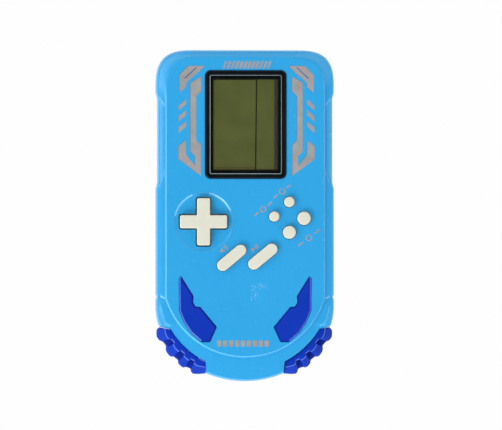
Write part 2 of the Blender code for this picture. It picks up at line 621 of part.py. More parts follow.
bridge = mesh_object("contact_bridge", box(26.7, 27.1, -50.5, -26.3, 5.0, 14.6), m_contact, smooth=False)
bridge_add = collection_of("bridge_parts")
helper("bridge_spring_cone", along_x([(26.8, 5.0), (25.6, 3.2)], CELL_Y[0], CELL_Z, 14), bridge_add)
helper("bridge_button", along_x([(26.8, 3.0), (25.6, 2.2)], CELL_Y[1], CELL_Z, 14), bridge_add)
boolean(bridge, 'UNION', bridge_add)


# --------------------------------------------------------------------- wires
def catmull(points, step_count):
    """Samples a smooth curve through the points."""
    pts = [Vector(p) for p in points]
    pts = [2 * pts[0] - pts[1]] + pts + [2 * pts[-1] - pts[-2]]
    out = []
    spans = len(pts) - 3
    for k in range(step_count + 1):
        u = spans * k / step_count
        i = min(int(u), spans - 1)
        t = u - i
        a, b, c, d = pts[i:i + 4]
        out.append(0.5 * ((2 * b) + (c - a) * t + (2 * a - 5 * b + 4 * c - d) * t * t
                          + (3 * b - a - 3 * c + d) * t * t * t))
    return out


def wire(name, route, mat, radius=0.5, points=14):
    curve = bpy.data.curves.new(name, 'CURVE')
    curve.dimensions = '3D'
    curve.bevel_depth = radius * MM
    curve.bevel_resolution = 2
    curve.use_fill_caps = True
    spline = curve.splines.new('POLY')
    samples = catmull(route, points - 1)
    spline.points.add(len(samples) - 1)
    for point, co in zip(spline.points, samples):
        point.co = (*(co * MM), 1.0)
    curve.materials.append(mat)
    return link(bpy.data.objects.new(name, curve))


wire("wire_red", [(-26.9, -20.55, 12.0), (-27.0, -18.5, 11.6), (-26.0, -15.5, 11.8), (-24.6, -12.6, 13.2),
                  (-24.0, -12.0, 15.45)], m_red)
wire("wire_black", [(-30.9, -45.8, 12.7), (-31.9, -44.5, 12.3), (-32.3, -38.0, 11.2), (-31.7, -29.0, 10.6),
                    (-30.2, -22.5, 10.8), (-28.2, -18.0, 11.3), (-27.2, -13.6, 13.0), (-27.0, -12.6, 15.45)],
     m_blackwire, points=22)
wire("wire_buzzer_1", [(-3.0, 20.0, 3.9), (-3.4, 18.0, 5.6), (-3.8, 13.0, 8.6), (-3.4, 9.4, 12.4),
                       (-3.0, 9.0, 15.45)], m_red)
wire("wire_buzzer_2", [(3.0, 20.0, 3.9), (3.4, 18.0, 5.6), (3.8, 13.0, 8.6), (3.4, 9.4, 12.4),
                       (3.0, 9.0, 15.45)], m_blackwire)

# -------------------------------------------------------------------- screws
for i, (x, y) in enumerate(CASE_SCREWS, 1):
    screw = mesh_object(f"case_screw_{i}", turned(x, y, [(1.5, 3.3), (2.2, 3.9), (2.2, 5.2), (1.0, 5.2),
                                                         (1.0, 15.6), (0.35, 16.7)], 14), m_steel)
    cuts = collection_of(f"case_screw_{i}_cuts")
    helper(f"case_screw_{i}_slot_a", box(x - 1.2, x + 1.2, y - 0.22, y + 0.22, 3.0, 4.3), cuts)
    helper(f"case_screw_{i}_slot_b", box(x - 0.22, x + 0.22, y - 1.2, y + 1.2, 3.0, 4.3), cuts)
    boolean(screw, 'DIFFERENCE', cuts)
for i, (x, y) in enumerate(PCB_SCREWS, 1):
    screw = mesh_object(f"pcb_screw_{i}", turned(x, y, [(1.3, 14.1), (1.9, 14.6), (1.9, 15.5), (0.75, 15.5),
                                                        (0.75, 20.2), (0.3, 20.9)], 12), m_steel)
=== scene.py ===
"""Looks of the handheld LCD game.  Lengths are in millimetres until a mesh is made."""
import bpy, bmesh, math, random
from mathutils import Matrix, Vector


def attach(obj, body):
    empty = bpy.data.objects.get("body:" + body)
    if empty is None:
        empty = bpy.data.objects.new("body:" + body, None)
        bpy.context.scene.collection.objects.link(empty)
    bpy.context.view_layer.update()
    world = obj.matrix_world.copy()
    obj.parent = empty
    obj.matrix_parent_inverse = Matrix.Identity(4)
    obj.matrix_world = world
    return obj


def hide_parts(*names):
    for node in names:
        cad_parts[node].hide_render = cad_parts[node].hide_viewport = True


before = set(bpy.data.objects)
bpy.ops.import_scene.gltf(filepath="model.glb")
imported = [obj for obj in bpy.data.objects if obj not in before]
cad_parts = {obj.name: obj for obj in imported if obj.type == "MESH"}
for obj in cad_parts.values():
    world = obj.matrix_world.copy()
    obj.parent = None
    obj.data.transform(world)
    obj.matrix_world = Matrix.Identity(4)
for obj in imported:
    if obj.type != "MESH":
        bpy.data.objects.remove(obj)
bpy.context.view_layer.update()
MM = 0.001
SC = bpy.context.scene

# ============================================================ mesh helpers
def link(obj):
    SC.collection.objects.link(obj)
    return obj


def finish_mesh(name, bm, mats, angle=30.0, weighted=True, recalc=True):
    """bmesh in mm -> object in metres, smooth with sharp edges kept."""
    if recalc:
        bmesh.ops.recalc_face_normals(bm, faces=bm.faces)
    for v in bm.verts:
        v.co *= MM
    me = bpy.data.meshes.new(name)
    bm.to_mesh(me)
    bm.free()
    for m in (mats if isinstance(mats, (list, tuple)) else [mats]):
        if m is not None:
            me.materials.append(m)
    me.shade_smooth()
    me.set_sharp_from_angle(angle=math.radians(angle))
    ob = link(bpy.data.objects.new(name, me))
    if weighted:
        add_weighted(ob)
    return ob


def add_weighted(ob):
    w = ob.modifiers.new("WeightedNormal", 'WEIGHTED_NORMAL')
    w.keep_sharp = True
    w.mode = 'FACE_AREA'
    w.weight = 50
    return ob


def loft(rings, bm=None, caps=(True, True), mat=0):
    bm = bm or bmesh.new()
    loops = [[bm.verts.new(p) for p in r] for r in rings]
    n = len(rings[0])
    for a, b in zip(loops, loops[1:]):
        for i in range(n):
            j = (i + 1) % n
            f = bm.faces.new((a[i], a[j], b[j], b[i]))
            f.material_index = mat
    if caps[0]:
        bm.faces.new(list(reversed(loops[0]))).material_index = mat
    if caps[1]:
        bm.faces.new(loops[-1]).material_index = mat
    return bm


def ring_body(rings, mats=None):
    """Closed ring: the last loop joins the first."""
    bm = bmesh.new()
    loops = [[bm.verts.new(p) for p in r] for r in rings]
    n = len(loops[0])
    for k, (a, b) in enumerate(zip(loops, loops[1:] + loops[:1])):
        for i in range(n):
            j = (i + 1) % n
            f = bm.faces.new((a[i], a[j], b[j], b[i]))
            f.material_index = mats[k] if mats else 0
    return bm


def at(pts, z):
    return [(x, y, z) for x, y in pts]


def prism(pts, z0, z1, bm=None):
    return loft([at(pts, z0), at(pts, z1)], bm)


def box(x0, x1, y0, y1, z0, z1, bm=None):
    return prism([(x0, y0), (x1, y0), (x1, y1), (x0, y1)], z0, z1, bm)


def circle(cx, cy, r, n):
    return [(cx + r * math.cos(2 * math.pi * i / n), cy + r * math.sin(2 * math.pi * i / n)) for i in range(n)]


def turned(cx, cy, profile, n=48, bm=None):
    return loft([at(circle(cx, cy, r, n), z) for r, z in profile], bm)


def along_x(profile, y, z, n=48, flip=1, bm=None):
    return loft([[(flip * x, y + r * math.cos(2 * math.pi * i / n), z + r * math.sin(2 * math.pi * i / n))
                  for i in range(n)] for x, r in profile], bm)


def rrect(cx, cy, w, h, r, seg=8):
    pts = []
    for sx, sy, a0 in ((1, 1, 0), (-1, 1, 90), (-1, -1, 180), (1, -1, 270)):
        for k in range(seg + 1):
            a = math.radians(a0 + 90 * k / seg)
            pts.append((cx + sx * (w / 2 - r) + r * math.cos(a), cy + sy * (h / 2 - r) + r * math.sin(a)))
    return pts


def capsule(p, q, r, seg=20):
    ang = math.atan2(q[1] - p[1], q[0] - p[0])
    pts = []
    for c, base in ((q, ang - math.pi / 2), (p, ang + math.pi / 2)):
        for k in range(seg + 1):
            a = base + math.pi * k / seg
            pts.append((c[0] + r * math.cos(a), c[1] + r * math.sin(a)))
    return pts


def poly_area(p):
    return 0.5 * sum(a[0] * b[1] - b[0] * a[1] for a, b in zip(p, p[1:] + p[:1]))


def rpoly(points, radius, d=0.0, seg=4):
    """Polygon offset outwards by d, every corner rounded; point count never changes."""
    pts = list(points)
    if poly_area(pts) < 0:
        pts = pts[::-1]
        if isinstance(radius, (list, tuple)):
            radius = list(radius)[::-1]
    n = len(pts)
    P = [Vector(p) for p in pts]
    off, turn = [], []
    for i in range(n):
        e1, e2 = (P[i] - P[i - 1]).normalized(), (P[(i + 1) % n] - P[i]).normalized()
        n1, n2 = Vector((e1.y, -e1.x)), Vector((e2.y, -e2.x))
        m = n1 + n2
        off.append(P[i] + m * (d / max(m.length_squared / 2, 0.35)))
        turn.append(1 if e1.x * e2.y - e1.y * e2.x >= 0 else -1)
    out = []
    for i in range(n):
        r0 = radius[i] if isinstance(radius, (list, tuple)) else radius
        r = max(r0 + turn[i] * d, 0.03)
        a, b, c = off[i - 1], off[i], off[(i + 1) % n]
        u, v = (a - b), (c - b)
        lu, lv = u.length, v.length
        u, v = u / lu, v / lv
        cosang = max(-0.9999, min(0.9999, u.dot(v)))
        half = math.acos(cosang) / 2
        t = min(r / math.tan(half), 0.45 * lu, 0.45 * lv)
        r = t * math.tan(half)
        p0, p1 = b + u * t, b + v * t
        centre = b + (u + v).normalized() * (r / math.sin(half))
        a0 = math.atan2(p0.y - centre.y, p0.x - centre.x)
        a1 = math.atan2(p1.y - centre.y, p1.x - centre.x)
        da = (a1 - a0 + math.pi) % (2 * math.pi) - math.pi
        for k in range(seg + 1):
            a_ = a0 + da * k / seg
            out.append((centre.x + r * math.cos(a_), centre.y + r * math.sin(a_)))
    return out


def fillet_rings(outline_at, z0, z1, r, steps=5, crown=0.0, start=0.0):
    """Rings of a block whose top edge is rounded: outline_at(d) gives the offset outline."""
    rings = [at(outline_at(start), z0)]
    for k in range(steps + 1):
        a = math.pi / 2 * k / steps
        rings.append(at(outline_at(start - r * (1 - math.cos(a))), z1 - r + r * math.sin(a)))
    return rings


def temp(bm):
    bmesh.ops.recalc_face_normals(bm, faces=bm.faces)
    me = bpy.data.meshes.new("tmp")
    bm.to_mesh(me)
    bm.free()
    return bpy.data.objects.new("tmp", me)


def carve(bm, add=(), cut=()):
    """Exact booleans on a bmesh in mm; returns a new bmesh."""
    base = link(temp(bm))
    for _ in range(3):
        base.data.materials.append(None)
    made = []
    for op, parts in (('UNION', add), ('DIFFERENCE', cut)):
        if not parts:
            continue
        col = bpy.data.collections.new("tmp")
        SC.collection.children.link(col)
        for p in parts:
            o = temp(p)
            col.objects.link(o)
            made.append(o)
        mod = base.modifiers.new(op, 'BOOLEAN')
        mod.operation, mod.operand_type, mod.collection, mod.solver = op, 'COLLECTION', col, 'EXACT'
    bpy.context.view_layer.update()
    me = bpy.data.meshes.new_from_object(base.evaluated_get(bpy.context.evaluated_depsgraph_get()))
    out = bmesh.new()
    out.from_mesh(me)
    for o in made + [base]:
        bpy.data.objects.remove(o, do_unlink=True)
    for col in [c for c in bpy.data.collections if c.name.startswith("tmp")]:
        bpy.data.collections.remove(col)
    bpy.data.meshes.remove(me)
    bmesh.ops.remove_doubles(out, verts=out.verts, dist=1e-5)
    return out


def catmull(points, steps):
    pts = [Vector(p) for p in points]
    pts = [2 * pts[0] - pts[1]] + pts + [2 * pts[-1] - pts[-2]]
    out, spans = [], len(pts) - 3
    for k in range(steps + 1):
        u = spans * k / steps
        i = min(int(u), spans - 1)
        t = u - i
        a, b, c, d = pts[i:i + 4]
        out.append(0.5 * ((2 * b) + (c - a) * t + (2 * a - 5 * b + 4 * c - d) * t * t + (3 * b - a - 3 * c + d) * t ** 3))
    return out


def tube(points, r, n=12, bm=None):
    """Round tube along points, closed at both ends."""
    pts = [Vector(p) for p in points]
    tang = [((pts[min(i + 1, len(pts) - 1)] - pts[max(i - 1, 0)]).normalized()) for i in range(len(pts))]
    up = Vector((0, 0, 1)) if abs(tang[0].z) < 0.9 else Vector((1, 0, 0))
    side = tang[0].cross(up).normalized()
    rings = []
    for p, t in zip(pts, tang):
        side = (side - t * side.dot(t)).normalized()
        b = t.cross(side)
        rings.append([tuple(p + side * (r * math.cos(2 * math.pi * k / n)) + b * (r * math.sin(2 * math.pi * k / n)))
                      for k in range(n)])
    return loft(rings, bm)


def place(ob, body, *nodes, slot=None):
    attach(ob, body)
    if nodes:
        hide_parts(*nodes)
    return ob


# ============================================================== materials
def srgb(r, g, b):
    return tuple(((c / 255) / 12.92 if c <= 10 else ((c / 255 + 0.055) / 1.055) ** 2.4) for c in (r, g, b))


class Mat:
    """Small wrapper that builds node materials."""

    def __init__(self, name, rough=0.4, metal=0.0, spec=0.5, coat=0.0, ior=1.46):
        self.m = bpy.data.materials.new(name)
        self.m.use_nodes = True
        self.nt = self.m.node_tree
        self.bsdf = self.nt.nodes["Principled BSDF"]
        self.out = self.nt.nodes["Material Output"]
        b = self.bsdf.inputs
        b["Roughness"].default_value = rough
        b["Metallic"].default_value = metal
        b["Specular IOR Level"].default_value = spec
        b["IOR"].default_value = ior
        b["Coat Weight"].default_value = coat
        self.tc = self.nt.nodes.new("ShaderNodeTexCoord")

    def node(self, kind, **props):
        n = self.nt.nodes.new(kind)
        for k, v in props.items():
            setattr(n, k, v)
        return n

    def link(self, a, b):
        self.nt.links.new(a, b)

    def coords(self, scale=(1, 1, 1), loc=(0, 0, 0), rot=(0, 0, 0)):
        mp = self.node("ShaderNodeMapping")
        mp.inputs["Scale"].default_value = scale
        mp.inputs["Location"].default_value = loc
        mp.inputs["Rotation"].default_value = rot
        self.link(self.tc.outputs["Object"], mp.inputs["Vector"])
        return mp.outputs["Vector"]

    def noise(self, scale, detail=3.0, rough=0.55, vec=None, distortion=0.0):
        n = self.node("ShaderNodeTexNoise")
        n.inputs["Scale"].default_value = scale
        n.inputs["Detail"].default_value = detail
        n.inputs["Roughness"].default_value = rough
        n.inputs["Distortion"].default_value = distortion
        self.link(vec or self.tc.outputs["Object"], n.inputs["Vector"])
        return n.outputs["Fac"]

    def ramp(self, fac, stops, interp='LINEAR'):
        r = self.node("ShaderNodeValToRGB")
        cr = r.color_ramp
        cr.interpolation = interp
        while len(cr.elements) > 1:
            cr.elements.remove(cr.elements[0])
        first = True
        for pos, col in stops:
            e = cr.elements[0] if first else cr.elements.new(pos)
            e.position = pos
            e.color = (*col, 1.0) if len(col) == 3 else col
            first = False
        self.link(fac, r.inputs["Fac"])
        return r.outputs["Color"]

    def mix(self, a, b, fac, blend='MIX'):
        n = self.node("ShaderNodeMix", data_type='RGBA', blend_type=blend)
        for sock, val in ((n.inputs[6], a), (n.inputs[7], b)):
            if isinstance(val, tuple):
                sock.default_value = (*val, 1.0)
            else:
                self.link(val, sock)
        if isinstance(fac, float):
            n.inputs[0].default_value = fac
        else:
            self.link(fac, n.inputs[0])
        return n.outputs[2]

    def math(self, op, a, b=None, c=None, clamp=False):
        n = self.node("ShaderNodeMath", operation=op, use_clamp=clamp)
        for i, v in enumerate((a, b, c)):
            if v is None:
                continue
            if isinstance(v, (int, float)):
                n.inputs[i].default_value = v
            else:
                self.link(v, n.inputs[i])
        return n.outputs[0]

    def maprange(self, v, a, b, c=0.0, d=1.0, smooth=False):
        n = self.node("ShaderNodeMapRange", interpolation_type='SMOOTHSTEP' if smooth else 'LINEAR')
        self.link(v, n.inputs["Value"])
        for k, x in (("From Min", a), ("From Max", b), ("To Min", c), ("To Max", d)):
            n.inputs[k].default_value = x
        return n.outputs["Result"]

    def xyz(self):
        s = self.node("ShaderNodeSeparateXYZ")
        self.link(self.tc.outputs["Object"], s.inputs[0])
        return s.outputs[0], s.outputs[1], s.outputs[2]

    def bump(self, height, strength, distance):
        b = self.node("ShaderNodeBump")
        b.inputs["Strength"].default_value = strength
        b.inputs["Distance"].default_value = distance
        self.link(height, b.inputs["Height"])
        self.link(b.outputs["Normal"], self.bsdf.inputs["Normal"])
        return b

    def base(self, col):
        if isinstance(col, tuple):
            self.bsdf.inputs["Base Color"].default_value = (*col, 1.0)
        else:
            self.link(col, self.bsdf.inputs["Base Color"])

    def rough(self, v):
        self.link(v, self.bsdf.inputs["Roughness"])


def moulded(name, colour, rough=0.42, gloss_var=0.03, spec=0.35, variation=0.05, grain=2600.0, bump=0.10, scuffs=False,
            speckle=0.0, coat=0.0):
    """Injection-moulded plastic: faint flow mottling, fine grain, uneven gloss."""
    m = Mat(name, rough, spec=spec, coat=coat)
    dark = tuple(c * (1 - variation) for c in colour)
    light = tuple(min(1.0, c * (1 + variation) + 0.003) for c in colour)
    flow = m.noise(38.0, 4.0, 0.6, distortion=0.6)
    col = m.ramp(flow, [(0.30, dark), (0.70, light)])
    fine = m.noise(grain, 2.0, 0.5)
    gloss = m.noise(160.0, 3.0, 0.6)
    r = m.maprange(gloss, 0.3, 0.7, rough - gloss_var, rough + gloss_var)
    if speckle:
        s = m.noise(900.0, 2.0, 0.7)
        s = m.maprange(s, 0.66, 0.74, 0.0, speckle)
        col = m.mix(col, tuple(min(1.0, c * 1.25 + 0.03) for c in colour), s)
    if scuffs:
        x, y, z = m.xyz()
        # two small rubbed patches below the buttons, only on the front face
        def patch(cx, cy, rx, ry):
            dx = m.math('DIVIDE', m.math('SUBTRACT', x, cx * MM), rx * MM)
            dy = m.math('DIVIDE', m.math('SUBTRACT', y, cy * MM), ry * MM)
            d = m.math('ADD', m.math('MULTIPLY', dx, dx), m.math('MULTIPLY', dy, dy))
            return m.maprange(d, 0.25, 1.0, 1.0, 0.0, smooth=True)
        area = m.math('MAXIMUM', patch(7.4, -32.4, 4.2, 2.4), patch(5.4, -36.6, 1.8, 3.4))
        area = m.math('MAXIMUM', area, m.math('MULTIPLY', patch(-8.4, -35.4, 3.0, 2.0), 0.25))
        top = m.maprange(z, 0.0238, 0.0240, 0.0, 1.0)
        vor = m.node("ShaderNodeTexVoronoi", feature='F1')
        vor.inputs["Scale"].default_value = 760.0
        m.link(m.tc.outputs["Object"], vor.inputs["Vector"])
        dots = m.maprange(vor.outputs["Distance"], 0.25, 0.45, 1.0, 0.0)
        thin = m.maprange(m.noise(420.0, 3.0, 0.7), 0.44, 0.54, 0.0, 1.0)
        mask = m.math('MULTIPLY', m.math('MULTIPLY', area, top), m.math('MULTIPLY', dots, thin))
        col = m.mix(col, tuple(min(1.0, c * 0.75 + 0.30) for c in colour), m.math('MULTIPLY', mask, 0.35))
    m.base(col)
    m.rough(r)
    m.bump(fine, bump, 0.00004)
    return m.m


def metal(name, colour, rough=0.3, brushed=True):
    m = Mat(name, rough, metal=1.0)
    n = m.noise(1500.0, 2.0, 0.5, vec=m.coords(scale=(1.0, 0.08, 1.0)) if brushed else None)
    m.base(m.ramp(n, [(0.3, tuple(c * 0.86 for c in colour)), (0.7, colour)]))
    m.rough(m.maprange(n, 0.3, 0.7, rough - 0.06, rough + 0.10))
    m.bump(n, 0.08, 0.00002)
    return m.m


BLUE = (0.029, 0.385, 0.79)
DARK = (0.003, 0.036, 0.46)
CREAM = (0.745, 0.745, 0.635)

M_BODY = moulded("light_blue_plastic", BLUE, rough=0.27, spec=0.50, variation=0.012, gloss_var=0.006, bump=0.006, scuffs=True)
M_DARK = moulded("deep_blue_plastic", DARK, rough=0.30, spec=0.26, variation=0.04, bump=0.02)
M_GRIP = moulded("grip_blue", (0.003, 0.040, 0.47), rough=0.55, spec=0.06, variation=0.05, bump=0.03)
# darker copy of the grip blue: painted shade in the grip valleys and on the inlays' inner edges
M_DEEP_BLUE_PAINTED_SHADE = moulded("deep_blue_painted_shade", (0.002, 0.020, 0.30), rough=0.6, spec=0.05, variation=0.05, bump=0.03)
# lighter deep blue: a painted highlight on the inlays' outer bevels
M_INLAY_EDGE_HIGHLIGHT = moulded("deep_blue_inlay_painted_highlight", srgb(66, 98, 214), rough=0.3, spec=0.3, variation=0.08, bump=0.02)
# lighter body blue: a painted highlight on deck edges, recess edges, notch, crease and the dish rim
M_BODY_PAINTED_HIGHLIGHT = moulded("light_blue_painted_highlight", (0.17, 0.58, 0.98), rough=0.25, spec=0.5, variation=0.03, bump=0.01)
# lighter deep blue: a painted highlight along the grips' ridges
M_GRIP_RIDGE_HIGHLIGHT = moulded("deep_blue_ridge_painted_highlight", srgb(84, 112, 222), rough=0.32, spec=0.4, variation=0.10, bump=0.02)
M_CREAM = moulded("cream_plastic", CREAM, rough=0.32, spec=0.45, variation=0.02, bump=0.02, speckle=0.10)
M_BEZEL = moulded("bezel_gloss_black", (0.0022, 0.0042, 0.0065), rough=0.20, spec=0.17, variation=0.12, bump=0.01)
M_WHITE = moulded("white_plastic", (0.72, 0.72, 0.69), rough=0.5, spec=0.35, variation=0.03)
M_RUBBER = moulded("grey_silicone", (0.36, 0.37, 0.37), rough=0.72, spec=0.3, variation=0.06, bump=0.15)
M_CARBON = moulded("carbon_pill", (0.018, 0.018, 0.02), rough=0.8, spec=0.2, variation=0.1, bump=0.2)
M_ZEBRA = moulded("zebra_elastomer", (0.05, 0.05, 0.06), rough=0.7, spec=0.3)
M_EPOXY = moulded("black_epoxy", (0.012, 0.012, 0.013), rough=0.22, spec=0.5, variation=0.2, grain=500.0, bump=0.12)
M_SLEEVE = moulded("capacitor_sleeve", (0.02, 0.03, 0.16), rough=0.3, spec=0.5)
M_RED = moulded("red_pvc", (0.55, 0.02, 0.02), rough=0.45)
M_BLACKPVC = moulded("black_pvc", (0.02, 0.02, 0.022), rough=0.5)
M_STEEL = metal("zinc_steel", (0.60, 0.60, 0.58), 0.34)
M_NICKEL = metal("nickel_plate", (0.68, 0.66, 0.62), 0.26)
M_BRASS = metal("piezo_brass", (0.78, 0.58, 0.26), 0.32)
M_SOLDER = metal("solder", (0.62, 0.62, 0.63), 0.28, brushed=False)
M_TIN = metal("cell_steel", (0.70, 0.70, 0.70), 0.25)


def ink_material():
    """Warm silver screen print, a little uneven, with pinholes."""
    m = Mat("silver_ink", 0.48, spec=0.4)
    base = srgb(158, 157, 158)
    n = m.noise(220.0, 4.0, 0.65)
    warm = m.mix(m.ramp(n, [(0.35, tuple(c * 0.90 for c in base)), (0.68, tuple(min(1, c * 1.10) for c in base))]),
                 srgb(166, 153, 152), m.maprange(m.noise(55.0, 2.0, 0.5), 0.42, 0.62, 0.0, 0.55))
    flakes = m.noise(3200.0, 2.0, 0.6)
    m.base(m.mix(warm, srgb(190, 188, 184), m.maprange(flakes, 0.62, 0.72, 0.0, 0.5)))
    m.bump(flakes, 0.12, 0.00002)
    return m.m


M_INK = ink_material()


def lcd_material():
    """Reflective LCD that is switched off: olive, darker in bands along its edges."""
    m = Mat("lcd_olive", 0.35, spec=0.25)
    x, y, z = m.xyz()
    n = m.noise(90.0, 3.0, 0.6)
    olive = m.ramp(n, [(0.3, srgb(85, 91, 47)), (0.7, srgb(94, 100, 55))])
    fibre = m.noise(2600.0, 2.0, 0.6)
    olive = m.mix(olive, srgb(96, 102, 58), m.maprange(fibre, 0.5, 0.8, 0.0, 0.25))
    # brownish band along the left, grey-brown band on the right, dark bands at top and bottom
    left = m.maprange(x, -0.0141, -0.0133, 1.0, 0.0, smooth=True)
    col = m.mix(olive, srgb(84, 80, 32), m.math('MULTIPLY', left, 0.8))
    right = m.maprange(x, 0.0122, 0.0136, 0.0, 1.0, smooth=True)
    col = m.mix(col, srgb(58, 54, 46), right)
    low = m.maprange(y, 0.0201, 0.0210, 1.0, 0.0, smooth=True)
    col = m.mix(col, srgb(50, 46, 32), low)
    top = m.maprange(y, 0.0604, 0.0607, 0.0, 1.0, smooth=True)
    col = m.mix(col, srgb(38, 48, 40), top)
    m.base(col)
    m.bump(fibre, 0.04, 0.00002)
    return m.m


M_LCD = lcd_material()
M_LCDLINE = moulded("lcd_line", srgb(20, 20, 10), rough=0.4, spec=0.3, variation=0.05)
M_LCDBROWN = moulded("lcd_brown_line", srgb(78, 68, 38), rough=0.4, spec=0.3, variation=0.05)


def lens_material():
    m = bpy.data.materials.new("clear_acrylic")
    m.use_nodes = True
    nt = m.node_tree
    nt.nodes.clear()
    out = nt.nodes.new("ShaderNodeOutputMaterial")
    mix = nt.nodes.new("ShaderNodeMixShader")
    tr = nt.nodes.new("ShaderNodeBsdfTransparent")
    gl = nt.nodes.new("ShaderNodeBsdfGlossy")
    fr = nt.nodes.new("ShaderNodeLayerWeight")
    pw = nt.nodes.new("ShaderNodeMath")
    no = nt.nodes.new("ShaderNodeTexNoise")
    mr = nt.nodes.new("ShaderNodeMapRange")
    tr.inputs["Color"].default_value = (0.985, 0.99, 0.985, 1)
    gl.inputs["Color"].default_value = (0.9, 0.9, 0.9, 1)
    fr.inputs["Blend"].default_value = 0.5
    pw.operation = 'POWER'
    pw.inputs[1].default_value = 4.0
    no.inputs["Scale"].default_value = 120.0
    mr.inputs["To Min"].default_value = 0.04
    mr.inputs["To Max"].default_value = 0.12
    nt.links.new(no.outputs["Fac"], mr.inputs["Value"])
    nt.links.new(mr.outputs["Result"], gl.inputs["Roughness"])
    nt.links.new(fr.outputs["Facing"], pw.inputs[0])
    nt.links.new(pw.outputs[0], mix.inputs[0])
    nt.links.new(tr.outputs[0], mix.inputs[1])
    nt.links.new(gl.outputs[0], mix.inputs[2])
    nt.links.new(mix.outputs[0], out.inputs["Surface"])
    return m


M_LENS = lens_material()
# light grey on the lens rim: a painted highlight where the edge catches light
M_LENS_EDGE_HIGHLIGHT = moulded("lens_edge_painted_highlight", srgb(150, 172, 178), rough=0.35, spec=0.5, variation=0.08)

# ================================================================ outlines
HALF_W, HALF_L, DECK_Z, DECK_HW = 39.87, 73.95, 24.0, 35.4
GRIP_C, GRIP_R = (0.0, -30.6), 38.9
DECK_C, DECK_R = (0.0, -25.95), 37.1
RIM_F, RIM_R, LIP = 12.9, 12.6, 1.2


def arc(c, r, a0, a1, n):
    return [(c[0] + r * math.cos(math.radians(a0 + (a1 - a0) * k / n)),
             c[1] + r * math.sin(math.radians(a0 + (a1 - a0) * k / n))) for k in range(n + 1)]


def line(p, q, n, ease=False):
    out = []
    for k in range(n + 1):
        t = k / n
        s = t * t * (3 - 2 * t) if ease else t
        out.append((p[0] + (q[0] - p[0]) * (s if ease else t), p[1] + (q[1] - p[1]) * t))
    return out


def sup(cx, cy, a, b, e, n):
    out = []
    for k in range(n + 1):
        t = math.pi / 2 * k / n
        out.append((cx + a * abs(math.sin(t)) ** (2 / e), cy + b * max(math.cos(t), 0.0) ** (2 / e)))
    # even out the spacing along the curve
    L = [0.0]
    fine = []
    for k in range(401):
        t = math.pi / 2 * k / 400
        fine.append(Vector((cx + a * abs(math.sin(t)) ** (2 / e), cy + b * max(math.cos(t), 0.0) ** (2 / e))))
    for p, q in zip(fine, fine[1:]):
        L.append(L[-1] + (q - p).length)
    res, j = [], 0
    for k in range(n + 1):
        target = L[-1] * k / n
        while j < 399 and L[j + 1] < target:
            j += 1
        t = (target - L[j]) / max(L[j + 1] - L[j], 1e-9)
        res.append(tuple(fine[j].lerp(fine[j + 1], t)))
    return res


def smooth_path(pts, n):
    return [tuple(p)[:2] for p in catmull([(x, y, 0) for x, y in pts], n)]


BOT_R = 44.4
BOT_C = (0.0, -HALF_L + BOT_R)
a_bot = math.degrees(math.atan2(-70.4 - BOT_C[1], 17.4))

